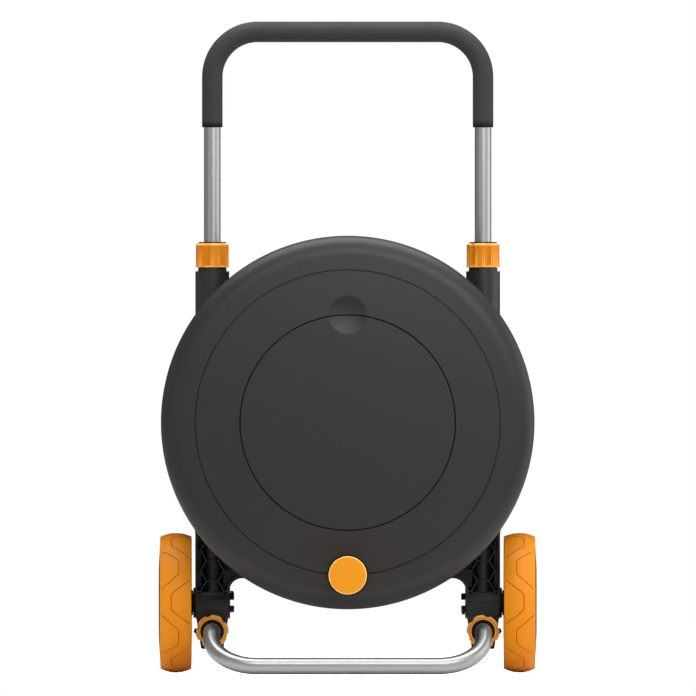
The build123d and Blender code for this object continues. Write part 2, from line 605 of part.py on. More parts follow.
def inlet_elbow():
    """Elbow behind the axle that brings the water up from below."""
    back = BOSS_BACK + AXLE_FLANGE + SEAT
    turn = back + 2 * FEED_RADIUS
    outer = AXLE_BORE + 2 * SKIN
    rear = Rot(180, 0, 0) * rod(outer, back, turn)
    spout = Rot(180, 0, 0) * rod(AXLE_BORE - SEAT, back - 2 * SKIN, back)
    knee = Pos(0, 0, -turn) * Sphere(outer)
    down = Pos(0, 0, -turn) * Rot(90, 0, 0) * rod(outer, 0, INLET_DROP)
    bore = Rot(180, 0, 0) * rod(PORT_RADIUS, 0, turn) + Pos(0, 0, -turn) * Sphere(PORT_RADIUS)
    bore_down = Pos(0, 0, -turn) * Rot(90, 0, 0) * rod(PORT_RADIUS, 0, INLET_DROP)
    socket = Pos(0, 0, -turn) * Rot(90, 0, 0) * rod(FEED_RADIUS, INLET_DROP - NIPPLE_THREAD, INLET_DROP)
    return REEL * (rear + spout + knee + down - bore - bore_down - socket)


def inlet_nipple():
    """Click nipple screwed into the elbow, pointing down."""
    turn = BOSS_BACK + AXLE_FLANGE + SEAT + 2 * FEED_RADIUS
    start = INLET_DROP + SEAL_THICKNESS
    thread = rod(FEED_RADIUS - SEAT, INLET_DROP - NIPPLE_THREAD + SEAT, start)
    body = thread + hexagon(NIPPLE_FLATS, start, start + NIPPLE_HEX) + click_nose(start + NIPPLE_HEX)
    body -= rod(PORT_RADIUS, 0, 5 * INLET_DROP)
    return REEL * Pos(0, 0, -turn) * Rot(90, 0, 0) * body


def inlet_seal():
    """Flat seal between elbow and nipple."""
    turn = BOSS_BACK + AXLE_FLANGE + SEAT + 2 * FEED_RADIUS
    body = pipe(FEED_RADIUS + SKIN, FEED_RADIUS, INLET_DROP, INLET_DROP + SEAL_THICKNESS)
    return REEL * Pos(0, 0, -turn) * Rot(90, 0, 0) * body


# ---- Winding knob ------------------------------------------------------------------------

def knob_grip():
    """Waisted grip that turns on the spindle."""
    bore = SPINDLE_RADIUS + RUN_FIT
    middle = (KNOB_BACK + KNOB_FRONT) / 2
    side = ThreePointArc(
        (KNOB_RADIUS - 1, 0, KNOB_BACK), (KNOB_WAIST, 0, middle), (KNOB_RADIUS, 0, KNOB_FRONT)
    )
    corners = Polyline(
        (KNOB_RADIUS, 0, KNOB_FRONT), (KNOB_COUNTERBORE, 0, KNOB_FRONT),
        (KNOB_COUNTERBORE, 0, SPINDLE_SEAT), (bore, 0, SPINDLE_SEAT), (bore, 0, KNOB_BACK),
        (KNOB_RADIUS - 1, 0, KNOB_BACK),
    )
    return REEL * knob_place() * revolve(make_face([side] + list(corners.edges())), Axis.Z)


def knob_cap():
    """Cap with a bevelled face over the spindle's head."""
    plug = pipe(KNOB_COUNTERBORE - SEAT, KNOB_COUNTERBORE - SKIN, KNOB_FRONT - SKIN, KNOB_FRONT + SEAT)
    face = rod(KNOB_RADIUS, KNOB_FRONT + SEAT / 2, KNOB_FRONT + KNOB_CAP)
    rim = face.edges().filter_by(GeomType.CIRCLE).sort_by(Axis.Z)[-1]
    return REEL * knob_place() * (chamfer(rim, KNOB_CAP / 4) + plug)


def knob_spindle():
    """Headed spindle from the knob's counterbore through the flange."""
    back = DRUM_FRONT + SKIN - SPINDLE_RADIUS
    seat = SPINDLE_SEAT + CLEAR
    body = rod(SPINDLE_RADIUS, back, seat) + rod(SPINDLE_HEAD, seat, SPINDLE_SEAT + SPINDLE_HEAD_HEIGHT)
    return REEL * knob_place() * body


def spindle_nut():
    """Nut behind the flange's boss."""
    back = DRUM_FRONT + SKIN
    nut = hexagon(SPINDLE_FLATS, back - SPINDLE_RADIUS, back - SEAT)
    nut -= rod(SPINDLE_RADIUS + SEAT / 2, 0, back)
    return REEL * knob_place() * nut


# ---- Telescopic sockets: neck, collet and collar ------------------------------------------

def upright(side):
    """Local frame at the top of an upright sleeve, Z along the tube."""
    return Plane(origin=(side * UPRIGHT_X, 0, SLEEVE_TOP), x_dir=(side, 0, 0), z_dir=(0, 0, 1))


def socket(side):
    """Local frame at the front of a foot socket, Z along the tube."""
    front = (side * UPRIGHT_X, -SOCKET_FRONT, SOCKET_HEIGHT)
    return Plane(origin=front, x_dir=(side, 0, 0), z_dir=(0, -1, 0))


def neck():
    """Shoulder and threaded spigot that a collar screws on."""
    body = rod(NECK_RADIUS, 0, NECK_LENGTH) + rod(SPIGOT_THREAD, NECK_LENGTH, SPIGOT_END)
    return body - rod(COLLET_RADIUS + SEAT, COLLET_SEAT, SPIGOT_END)


def collet(flange):
    """Split collet: whole ring at the bottom, slotted jaws above, and a flange if asked."""
    inner = TUBE_RADIUS + RUN_FIT
    top = NECK_LENGTH + COLLAR_LENGTH + CLEAR
    jaw = COLLAR_MOUTH - CLEAR
    corners = [
        (inner, COLLET_SEAT + SEAT), (COLLET_RADIUS, COLLET_SEAT + SEAT),
        (COLLET_RADIUS, SPIGOT_END + SEAT), (jaw, SPIGOT_END + SEAT), (jaw, top + CLEAR),
    ]
    if flange:
        corners += [
            (COLLET_FLANGE_RADIUS, top + CLEAR), (COLLET_FLANGE_RADIUS, top + CLEAR + COLLET_FLANGE),
            (inner, top + CLEAR + COLLET_FLANGE),
        ]
    else:
        corners += [(inner + SKIN / 2, top + CLEAR), (inner, top - SKIN)]
    body = turned(*corners)
    reach = COLLET_FLANGE_RADIUS + SKIN
    slot = Pos(reach / 2, 0, SPIGOT_END / 2) * Box(reach, COLLET_SLOT, 2 * top, align=BOTTOM)
    return body - spread(slot, COLLET_SLOTS, 30)


def collar(turn):
    """Six-lobed twist-lock ring; turn sets where its flutes lie."""
    half = radians(FLUTE_ANGLE / 2)
    rise = COLLAR_RADIUS - FLUTE_DEPTH
    run = COLLAR_RADIUS * sin(half)
    gap = COLLAR_RADIUS * cos(half) - rise
    flute = (run**2 + gap**2) / (2 * gap)
    lobes = Circle(COLLAR_RADIUS) - spread(Pos(rise + flute, 0) * Circle(flute), FLUTES, turn)
    start = NECK_LENGTH + CLEAR
    end = start + COLLAR_LENGTH
    grip = Pos(0, 0, start) * extrude(lobes, COLLAR_LENGTH)
    blank = rod(COLLAR_RADIUS + 1, start, end)
    rim = blank.edges().filter_by(GeomType.CIRCLE).sort_by(Axis.Z)[-1]
    grip &= fillet(rim, COLLAR_ROUND + 1)
    body = grip + rod(COLLAR_LIP_RADIUS, start, start + COLLAR_LIP)
    thread = SPIGOT_THREAD + CLEAR
    body -= rod(thread, start, end - COLLAR_MOUTH_LENGTH)
    body -= turned(
        (0, end - COLLAR_MOUTH_LENGTH), (thread, end - COLLAR_MOUTH_LENGTH), (COLLAR_MOUTH, end - SKIN / 2),
        (COLLAR_MOUTH, end), (0, end),
    )
    return body


# ---- Rear frame --------------------------------------------------------------------------

def frame_outline():
    """Front outline of the frame: round body and two legs with filleted roots."""
    leg_height = REEL_HEIGHT - WHEEL_RADIUS
    leg = Pos(UPRIGHT_X, WHEEL_RADIUS + leg_height / 2) * Rectangle(LEG_WIDTH, leg_height)
    outline = Pos(0, REEL_HEIGHT) * Circle(BODY_RADIUS) + leg + mirrored(leg)

    def root(across):
        return REEL_HEIGHT - sqrt(BODY_RADIUS**2 - across**2)

    for across, radius in (
        (UPRIGHT_X + LEG_WIDTH / 2, SHOULDER_RADIUS),
        (UPRIGHT_X - LEG_WIDTH / 2, NOTCH_RADIUS),
    ):
        corners = [
            v for v in outline.vertices()
            if abs(abs(v.X) - across) < 0.1 and abs(v.Y - root(across)) < 0.1
        ]
        outline = fillet(corners, radius)
    return outline


def honeycomb(area):
    """Ribs that are left when flat-topped hexagonal cells are cut out of an area."""
    column = CELL_PITCH * sqrt(3) / 2
    cell = RegularPolygon((CELL_PITCH - CELL_RIB) / 2, 6, major_radius=False)
    reach = int(RIB_TOP / CELL_PITCH)
    cells = [
        Pos(UPRIGHT_X + i * column, CELL_HEIGHT + (j + (i % 2) / 2) * CELL_PITCH) * cell
        for i in range(-4, 2)
        for j in range(-reach, reach)
    ]
    return area - cells


def leg_ribs(inside):
    """Honeycomb of the right leg, inside the frame's walls."""
    window = Pos(UPRIGHT_X - LEG_WIDTH / 2, (WHEEL_RADIUS + RIB_TOP) / 2)
    window *= Rectangle(2 * LEG_WIDTH, RIB_TOP - WHEEL_RADIUS)
    return honeycomb(inside & window)


def upright_sleeve():
    """Round sleeve with an inner guide tube, four webs, a top plate and the neck."""
    bottom = RIB_TOP
    ring = Circle(SLEEVE_RADIUS) - Circle(SLEEVE_RADIUS - SLEEVE_WALL)
    web_length = SLEEVE_RADIUS - GUIDE_RADIUS
    web = Pos(GUIDE_RADIUS + web_length / 2 - SLEEVE_WALL / 2, 0) * Rectangle(web_length, SLEEVE_WALL)
    section = ring + spread(web, 4, 45)
    top = SLEEVE_TOP - SLEEVE_WALL
    sleeve = Pos(0, 0, bottom) * extrude(section, top - bottom)
    return sleeve + rod(SLEEVE_RADIUS, top, SLEEVE_TOP)


def foot_bracket():
    """Tapered block under the leg, open at the back, around the foot's guide."""
    top = WHEEL_RADIUS
    narrow, wide = SOCKET_FOOT_WIDTH / 2, SOCKET_TOP_WIDTH / 2

    def outline(inset):
        line = Polyline(
            (-narrow + inset, SOCKET_FOOT + inset), (narrow - inset, SOCKET_FOOT + inset),
            (wide - inset, SOCKET_TOP), (wide - inset, top), (-wide + inset, top),
            (-wide + inset, SOCKET_TOP), close=True,
        )
        face = make_face(line)
        low = [v for v in face.vertices() if v.Y < SOCKET_FOOT + inset + SOCKET_ROUND]
        return fillet(low, SOCKET_ROUND)

    block = extrude(outline(0), SOCKET_FRONT + SOCKET_BACK)
    pocket = extrude(outline(FRAME_WALL), SOCKET_FRONT + SOCKET_BACK - FRAME_WALL)
    guide = Pos(0, SOCKET_HEIGHT, 0) * rod(GUIDE_RADIUS, 0, SOCKET_FRONT + SOCKET_BACK)
    body = Pos(UPRIGHT_X, 0, -SOCKET_BACK) * (block - pocket + guide)
    return FRONT * body


def axle_housing(grow, radius):
    """Cylinder along X through the right leg's foot."""
    start = HOUSING_INNER - grow
    body = Rot(0, 90, 0) * rod(radius, start, HOUSING_OUTER + grow)
    return Pos(0, 0, WHEEL_RADIUS) * body


def rear_frame():
    """The whole frame moulding."""
    outline = frame_outline()
    inside = offset(outline, -FRAME_WALL)
    skin = extrude(outline, FRAME_SKIN)
    wall = extrude(outline - inside, FRAME_FRONT + FRAME_BACK)
    plate = FRONT * Pos(0, 0, -FRAME_BACK) * (skin + wall)
    root = FRAME_SKIN / 2 - FRAME_BACK
    ribs = FRONT * Pos(0, 0, root) * extrude(leg_ribs(inside), RIB_FRONT - root)
    spoke_length = BODY_RADIUS - FRAME_WALL / 2 - BOSS_RADIUS + SPOKE_WALL
    spoke = Pos(BOSS_RADIUS - SPOKE_WALL + spoke_length / 2, 0, root)
    spoke *= Box(spoke_length, SPOKE_WALL, SPOKE_FRONT - root, align=BOTTOM)
    ring = pipe(BODY_RADIUS / 2 + SPOKE_WALL, BODY_RADIUS / 2, root, SPOKE_FRONT)
    boss = rod(BOSS_RADIUS, -BOSS_BACK, BOSS_FRONT)
    middle = REEL * (ring + boss + spread(spoke, SPOKES, 15))
    guide = Pos(UPRIGHT_X, 0, 0) * rod(GUIDE_RADIUS, WHEEL_RADIUS, SLEEVE_TOP)
    sleeve = Pos(UPRIGHT_X, 0, 0) * upright_sleeve()
    right = ribs + guide + sleeve + axle_housing(0, HOUSING_RADIUS) + foot_bracket()
    right += upright(1) * neck() + socket(1) * neck()
    body = plate + middle + right + mirrored(right)

    bore = Pos(UPRIGHT_X, 0, 0) * rod(GLIDE_BORE, WHEEL_RADIUS + HOUSING_RADIUS + FRAME_SKIN, GLIDE_STOP)
    bore += Pos(UPRIGHT_X, 0, 0) * rod(TUBE_GUIDE, GLIDE_STOP, SLEEVE_TOP + SPIGOT_END)
    bore += socket(1) * rod(TUBE_GUIDE, -SOCKET_FRONT - SOCKET_BACK, SPIGOT_END)
    bore += axle_housing(1, HOUSING_BORE + SEAT)
    bore += stop_place() * rod(STOP_SHANK + SEAT, -SOCKET_TOP_WIDTH / 2, 0)
    bore += stop_place() * rod(STOP_HEAD + SEAT, 0, STOP_HEAD)
    body -= bore
    body -= mirrored(bore)
    body -= REEL * rod(AXLE_RADIUS + SEAT, -BOSS_BACK, BOSS_FRONT)
    pilot = Pos((AXLE_FLANGE_RADIUS + AXLE_RADIUS) / 2, 0, 0)
    pilot *= rod(SCREW_RADIUS, -BOSS_BACK, -BOSS_BACK + SCREW_LENGTH)
    return body - [REEL * hole for hole in spread(pilot, AXLE_SCREWS, 45)]


def stop_place():
    """Local frame of the right foot socket's stop screw, Z outwards at the bracket's side."""
    drop = (SOCKET_TOP - SOCKET_HEIGHT) / (SOCKET_TOP - SOCKET_FOOT)
    half = (SOCKET_TOP_WIDTH + drop * (SOCKET_FOOT_WIDTH - SOCKET_TOP_WIDTH)) / 2
    return Plane(
        origin=(UPRIGHT_X + half, -STOP_DEPTH, SOCKET_HEIGHT), x_dir=(0, 1, 0), z_dir=(1, 0, 0)
    )


def foot_stop_screws():
    """Dome-head screws whose tips ride in the foot tube's slots."""
    place = stop_place()
    half = place.origin.X - UPRIGHT_X
    head = LEG_WIDTH / 2 + STOP_PROUD - half
    dome = Pos(0, 0, head - STOP_HEAD) * Sphere(STOP_HEAD) + rod(STOP_HEAD, SEAT, head - STOP_HEAD)
    dome -= rod(2 * STOP_HEAD, -2 * STOP_HEAD, SEAT)
    one = place * (dome + rod(STOP_SHANK, TUBE_BORE - half, head / 2))
    return group([one, mirrored(one)])


# ---- Handle and foot ----------------------------------------------------------------------

def swept_tube(points, radii, outer, inner):
    """A round tube along a path of straights and tangent arcs."""
    path = FilletPolyline(*points, radius=radii)
    start = Plane(origin=path @ 0, z_dir=path % 0)
    return sweep(start * (Circle(outer) - Circle(inner)), path=path)


def handle_path(bottom):
    """Corner points of the handle from one end to the other."""
    return [
        (-UPRIGHT_X, 0, bottom), (-UPRIGHT_X, 0, HANDLE_AXIS),
        (UPRIGHT_X, 0, HANDLE_AXIS), (UPRIGHT_X, 0, bottom),
    ]


def handle_tube():
    """Aluminium U that slides in the uprights."""
    return swept_tube(handle_path(GLIDE_STOP - CLEAR), HANDLE_BEND, TUBE_RADIUS, TUBE_BORE)


def handle_grip():
    """Soft sleeve over the crossbar and both bends."""
    return swept_tube(handle_path(GRIP_END), HANDLE_BEND, GRIP_RADIUS, TUBE_RADIUS + RUN_FIT)


def handle_glides():
    """Glides at the handle's ends; their heads are too wide for the upper guide."""
    head_top = GLIDE_STOP - CLEAR - SEAT
    body = rod(GLIDE_BORE - SEAT, head_top - GLIDE_LENGTH, head_top)
    body += rod(TUBE_BORE - SEAT, head_top, head_top + GLIDE_LENGTH)
    body -= rod(TUBE_BORE - SKIN, head_top - GLIDE_LENGTH, head_top + GLIDE_LENGTH)
    one = Pos(UPRIGHT_X, 0, 0) * body
    return group([one, mirrored(one)])


def foot_path():
    """Corner points of the foot from one end to the other, with their bend radii."""
    drop = SOCKET_HEIGHT - TUBE_RADIUS
    run = FOOT_RUN + FOOT_CORNER
    angle = atan2(FOOT_KNEE, run) + asin((drop - FOOT_KNEE) / hypot(run, FOOT_KNEE))
    slope = FOOT_KNEE * tan(angle / 2) + run
    bar = TUBE_RADIUS - FOOT_FRONT
    knee = bar + slope * cos(angle)
    rear = SOCKET_BACK
    half = [(rear, SOCKET_HEIGHT), (knee, SOCKET_HEIGHT), (bar, TUBE_RADIUS)]
    points = [(-UPRIGHT_X, *place) for place in half] + [(UPRIGHT_X, *place) for place in half[::-1]]
    return points, [FOOT_KNEE, FOOT_CORNER, FOOT_CORNER, FOOT_KNEE]


def foot_tube():
    """Aluminium U that slides in the foot sockets, slotted for the stop screws."""
    points, radii = foot_path()
    slot_radius = STOP_SHANK + CLEAR
    front = -STOP_DEPTH - FOOT_TRAVEL
    back = -STOP_DEPTH
    end = Rot(0, 90, 0) * rod(slot_radius, 0, 2 * TUBE_RADIUS)
    ends = [Pos(UPRIGHT_X, place, SOCKET_HEIGHT) * end for place in (front, back)]
    slot = Pos(UPRIGHT_X + TUBE_RADIUS, (front + back) / 2, SOCKET_HEIGHT)
    slot *= Box(2 * TUBE_RADIUS, back - front, 2 * slot_radius)
    cut = slot + ends
    return swept_tube(points, radii, TUBE_RADIUS, TUBE_BORE) - cut - mirrored(cut)


def foot_plugs():
    """Plugs in the foot tube's rear ends."""
    body = rod(TUBE_RADIUS, 0, PLUG_HEAD) + rod(TUBE_BORE - SEAT, -STOP_SHANK * 2, 0)
    body = Plane(origin=(UPRIGHT_X, SOCKET_BACK + SEAT, SOCKET_HEIGHT), z_dir=(0, 1, 0)) * body
    return group([body, mirrored(body)])


# ---- Wheels -------------------------------------------------------------------------------

def wheel_frame(side):
    """Local frame of a wheel, Z outwards from the cart's middle plane."""
    return Plane(origin=(0, 0, WHEEL_RADIUS), x_dir=(0, 0, 1), z_dir=(side, 0, 0))


def tyre(side):
    """Crowned tyre with a rebate for the hub's cover ring."""
    land = WHEEL_RADIUS - SHOULDER_DROP
    wall = SHOULDER_DROP / 2
    middle = TYRE_INNER + TYRE_WIDTH / 2
    crown = ThreePointArc(
        (land, 0, TYRE_INNER + wall), (WHEEL_RADIUS, 0, middle), (land, 0, WHEEL_OUTER - wall)
    )
    rebate = WHEEL_OUTER - SKIN - CLEAR
    rest = Polyline(
        (land, 0, WHEEL_OUTER - wall), (land - wall, 0, WHEEL_OUTER), (HUB_LAND + SEAT, 0, WHEEL_OUTER),
        (HUB_LAND + SEAT, 0, rebate), (TYRE_BEAD, 0, rebate), (TYRE_BEAD, 0, TYRE_INNER + wall),
        (TYRE_BEAD + wall, 0, TYRE_INNER), (land - wall, 0, TYRE_INNER), (land, 0, TYRE_INNER + wall),
    )
    return wheel_frame(side) * revolve(make_face([crown] + list(rest.edges())), Axis.Z)


def wheel_hub(side):
    """Moulded hub: cover ring, recess, cap boss, rim and ribs inside."""
    bore = STUB_RADIUS + SEAT
    rim = TYRE_BEAD - SEAT
    recess_back = RECESS_FACE - 1.2 * SKIN
    boss = STUB_HEAD + 1.5 * SKIN
    body = turned(
        (bore, HUB_START), (HUB_BOSS_RADIUS, HUB_START), (HUB_BOSS_RADIUS, HUB_START + 6 * SKIN),
        (boss, HUB_START + 10 * SKIN), (boss, recess_back), (HUB_STEP - SKIN, recess_back),
        (HUB_STEP - SKIN, HUB_FACE - 1.2 * SKIN), (rim - SKIN, WHEEL_OUTER - 1.1 * SKIN),
        (rim - SKIN, TYRE_INNER + SKIN), (rim, TYRE_INNER + SKIN), (rim, WHEEL_OUTER - SKIN),
        (HUB_LAND, WHEEL_OUTER - SKIN), (HUB_LAND, WHEEL_OUTER), (HUB_STEP, HUB_FACE),
        (HUB_STEP, RECESS_FACE), (CAP_RADIUS, RECESS_FACE), (CAP_RADIUS, CAP_SEAT),
        (STUB_HEAD + CLEAR, CAP_SEAT), (STUB_HEAD + CLEAR, HUB_COUNTERBORE), (bore, HUB_COUNTERBORE),
    )
    rib_length = rim - SKIN / 2 - HUB_BOSS_RADIUS
    rib = Pos(HUB_BOSS_RADIUS - SEAT + rib_length / 2, 0, TYRE_INNER + 3 * SKIN)
    rib *= Box(rib_length, WHEEL_RIB, recess_back + SKIN / 2 - TYRE_INNER - 3 * SKIN, align=BOTTOM)
    return wheel_frame(side) * (body + spread(rib, WHEEL_RIBS) - rod(bore, 0, HUB_FACE))


def wheel_cap(side):
    """Centre cap over the axle stub's head."""
    body = rod(CAP_RADIUS, CAP_SEAT + SEAT, HUB_FACE)
    rim = body.edges().filter_by(GeomType.CIRCLE).sort_by(Axis.Z)[-1]
    skirt = pipe(STUB_HEAD, STUB_HEAD - SKIN / 2, STUB_FACE + SEAT, CAP_SEAT + 2 * SEAT)
    return wheel_frame(side) * (fillet(rim, SKIN / 2) + skirt)


def axle_stub(side):
    """Hollow snap axle: head in the hub, two jaws at the inner end, one with a barb."""
    start = HOUSING_INNER - JAW_LENGTH
    seat = HUB_COUNTERBORE + SEAT
    body = rod(STUB_RADIUS, start, seat) + rod(STUB_HEAD, seat, STUB_FACE)
    barb = turned(
        (STUB_RADIUS - SKIN, start), (STUB_RADIUS, start), (BARB_RADIUS, start + JAW_LENGTH / 4),
        (BARB_RADIUS, HOUSING_INNER - CLEAR), (STUB_RADIUS - SKIN, HOUSING_INNER - CLEAR),
    )
    upper = Pos(side * -BARB_RADIUS, 0, start) * Box(2 * BARB_RADIUS, 4 * BARB_RADIUS, 2 * JAW_LENGTH)
    body += barb & upper
    body -= rod(STUB_BORE, start, HUB_COUNTERBORE - SKIN)
    body -= Pos(0, 0, start) * Box(JAW_SLOT, 4 * BARB_RADIUS, 2 * JAW_SLIT)
    return wheel_frame(side) * body


def axle_bush(side):
    """Flanged bush between the leg's housing and the axle stub."""
    end = HOUSING_OUTER + AXLE_BUSH_FLANGE
    body = pipe(HOUSING_BORE, STUB_BUSH, HOUSING_INNER + SEAT, end)
    body += pipe(AXLE_BUSH_FLANGE_RADIUS, STUB_BUSH, HOUSING_OUTER + SEAT / 2, end)
    return wheel_frame(side) * body


# ---- The pieces ---------------------------------------------------------------------------

PIECES = {
    "rear_frame": rear_frame,
    "foot_stop_screws": foot_stop_screws,
    "reel_axle": reel_axle,
    "axle_screws": axle_screws,
    "axle_washer": axle_washer,
    "axle_bolt": axle_bolt,
    "inlet_elbow": inlet_elbow,
    "inlet_nipple": inlet_nipple,
    "inlet_seal": inlet_seal,
    "front_flange": front_flange,
    "rear_flange": rear_flange,
    "hose_drum": drum,
    "storage_bowl": storage_bowl,
    "front_screws": front_screws,
    "rear_screws": rear_screws,
    "rear_bush": lambda: reel_bush(False),
    "front_bush": lambda: reel_bush(True),
    "axle_seals": axle_seals,
    "feed_pipe": feed_pipe,
    "hose_outlet": hose_outlet,
    "knob_spindle": knob_spindle,
    "spindle_nut": spindle_nut,
    "knob_grip": knob_grip,
    "knob_cap": knob_cap,
    "storage_lid": lid,
    "handle_tube": handle_tube,
    "handle_grip": handle_grip,
    "handle_glides": handle_glides,
    "foot_tube": foot_tube,
    "foot_plugs": foot_plugs,
}
for name, side in (("left", -1), ("right", 1)):
    PIECES[f"{name}_handle_collet"] = lambda side=side: upright(side) * collet(True)
    PIECES[f"{name}_foot_collet"] = lambda side=side: socket(side) * collet(False)
    PIECES[f"{name}_handle_collar"] = lambda side=side: upright(side) * collar(HANDLE_FLUTE_TURN)
    PIECES[f"{name}_foot_collar"] = lambda side=side: socket(side) * collar(0)
    PIECES[f"{name}_tyre"] = lambda side=side: tyre(side)
    PIECES[f"{name}_wheel_hub"] = lambda side=side: wheel_hub(side)
    PIECES[f"{name}_wheel_cap"] = lambda side=side: wheel_cap(side)
    PIECES[f"{name}_axle_stub"] = lambda side=side: axle_stub(side)
    PIECES[f"{name}_axle_bush"] = lambda side=side: axle_bush(side)


if __name__ == "__main__":
    os.makedirs("parts", exist_ok=True)
    for node, make in PIECES.items():
        export_step(Pos(0, DEPTH_SHIFT, 0) * make(), f"parts/{node}.step")
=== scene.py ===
"""Garden hose reel cart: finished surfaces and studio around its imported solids."""

import logging
import math
from dataclasses import dataclass, field, replace
from enum import Enum
from typing import Callable, Sequence

import bmesh
import bpy
import numpy as np
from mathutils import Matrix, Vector


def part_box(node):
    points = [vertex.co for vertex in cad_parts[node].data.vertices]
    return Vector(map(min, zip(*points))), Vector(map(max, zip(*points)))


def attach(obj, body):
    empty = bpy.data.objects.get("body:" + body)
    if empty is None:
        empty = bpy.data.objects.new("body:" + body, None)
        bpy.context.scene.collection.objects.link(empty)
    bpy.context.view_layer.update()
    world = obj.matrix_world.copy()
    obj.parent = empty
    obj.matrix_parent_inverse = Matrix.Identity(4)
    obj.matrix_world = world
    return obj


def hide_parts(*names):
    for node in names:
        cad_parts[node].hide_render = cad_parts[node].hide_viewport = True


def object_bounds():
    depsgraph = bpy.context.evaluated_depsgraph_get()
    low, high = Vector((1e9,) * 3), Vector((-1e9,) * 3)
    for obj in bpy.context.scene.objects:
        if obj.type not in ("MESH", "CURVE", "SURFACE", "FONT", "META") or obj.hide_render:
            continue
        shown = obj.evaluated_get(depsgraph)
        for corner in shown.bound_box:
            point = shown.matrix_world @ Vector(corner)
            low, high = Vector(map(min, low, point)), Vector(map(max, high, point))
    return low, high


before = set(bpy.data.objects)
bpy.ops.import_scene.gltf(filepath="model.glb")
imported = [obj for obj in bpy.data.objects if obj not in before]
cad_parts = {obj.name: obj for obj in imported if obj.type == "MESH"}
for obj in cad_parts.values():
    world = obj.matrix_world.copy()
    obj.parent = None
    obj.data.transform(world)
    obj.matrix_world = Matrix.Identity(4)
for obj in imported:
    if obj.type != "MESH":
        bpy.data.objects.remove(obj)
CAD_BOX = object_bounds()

LOG = logging.getLogger("hose_cart")
Array = np.ndarray
Socket = bpy.types.NodeSocket
Value = Socket | float | tuple[float, ...]
MM = 0.001
WELD = 0.002 * MM


class Side(Enum):
    """The cart's two sides as seen from the reel's face."""

    LEFT = -1
    RIGHT = 1

    @property
    def word(self) -> str:
        """Name used at the start of node and body names."""
        return self.name.lower()


# ---- Places and surfaces -----------------------------------------------------------------

@dataclass(frozen=True)
class Place:
    """A local frame: where its origin lies and which way its x and z axes point."""

    origin: tuple[float, float, float]
    x: tuple[float, float, float] = (1.0, 0.0, 0.0)
    z: tuple[float, float, float] = (0.0, 0.0, 1.0)

    def put(self, points: Array) -> Array:
        """World points origin + x * x-axis + y * y-axis + z * z-axis; the y-axis is z cross x."""
        x, z = np.array(self.x, float), np.array(self.z, float)
        return np.array(self.origin) + points @ np.array([x, np.cross(z, x), z])

    def moved(self, x: float, y: float, z: float) -> "Place":
        """The same directions around a local point."""
        return replace(self, origin=tuple(self.put(np.array([x, y, z]))))


def centre_of(node: str) -> Vector:
    """Middle of a CAD node's box."""
    low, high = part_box(node)
    return (low + high) / 2


def ways(angles: Array | float) -> Array:
    """Unit directions (cos a, sin a) of angles in the plane."""
    return np.stack([np.cos(angles), np.sin(angles)], axis=-1)


def around(radius: Array, height: Array, angles: Array) -> Array:
    """Points (r cos a, r sin a, h), for radii and heights that spread over the angles."""
    return np.stack(np.broadcast_arrays(radius * np.cos(angles), radius * np.sin(angles), height), axis=-1)


def spin(profile: Array, angles: Array) -> Array:
    """Turns a profile, rows of radius and height, about the local Z axis."""
    return around(profile[:, :1], profile[:, 1:], angles)


def turn_angles(count: int) -> Array:
    """Evenly spaced angles of a full turn, without its end."""
    return np.arange(count) * (2 * math.pi / count)


def arc(centre: tuple[float, float], radius: float, start: float, end: float, count: int) -> Array:
    """Points on a circle: centre + radius (cos a, sin a), for angles in degrees from start to end."""
    return np.array(centre) + radius * ways(np.radians(np.linspace(start, end, count)))


def bent_path(corners: Sequence[Sequence[float]], radii: Sequence[float], step: float) -> tuple[Array, Array]:
    """Points and unit tangents along straights joined by tangent arcs.

    At a corner with bend angle b, the arc starts r tan(b/2) before the corner; along it the
    tangent turns evenly from one straight's direction to the next one's.

    Args:
        corners: the path's corner points, its two ends included.
        radii: bend radius at each inner corner.
        step: largest angle in radians between two points of an arc.

    Returns:
        The points and the tangents, both of shape (n, 3).
    """
    corner = np.array(corners, float)
    way = np.diff(corner, axis=0)
    way /= np.linalg.norm(way, axis=1, keepdims=True)
    points, tangents = [corner[:1]], [way[:1]]
    for i, radius in enumerate(radii):
        before, after = way[i], way[i + 1]
        bend = math.acos(float(np.clip(before @ after, -1, 1)))
        inward = after - before * (before @ after)
        inward /= np.linalg.norm(inward)
        start = corner[i + 1] - before * radius * math.tan(bend / 2)
        turn = np.linspace(0, bend, max(3, int(bend / step)))[:, None]
        points.append(start + radius * (np.sin(turn) * before + (1 - np.cos(turn)) * inward))
        tangents.append(np.cos(turn) * before + np.sin(turn) * inward)
    points.append(corner[-1:])
    tangents.append(way[-1:])
    return np.concatenate(points), np.concatenate(tangents)


def sweep(points: Array, tangents: Array, radius: Array, across: Array, segments: int) -> Array:
    """Carries a circle along a path.

    A point is path + radius (u cos a + v sin a), where u is the across direction made square to
    the tangent and v is the tangent's cross product with u.

    Args:
        points: path points.
        tangents: unit tangents.
        radius: the circle's radius at each path point.
        across: a direction that is never along the path.
        segments: points round the circle.

    Returns:
        Points of shape (path points, segments, 3).
    """
    u = across - tangents * (tangents @ across)[:, None]
    u /= np.linalg.norm(u, axis=1, keepdims=True)
    v = np.cross(tangents, u)
    angle = turn_angles(segments)[None, :, None]
    ring = u[:, None] * np.cos(angle) + v[:, None] * np.sin(angle)
    return points[:, None] + np.broadcast_to(radius, len(points))[:, None, None] * ring


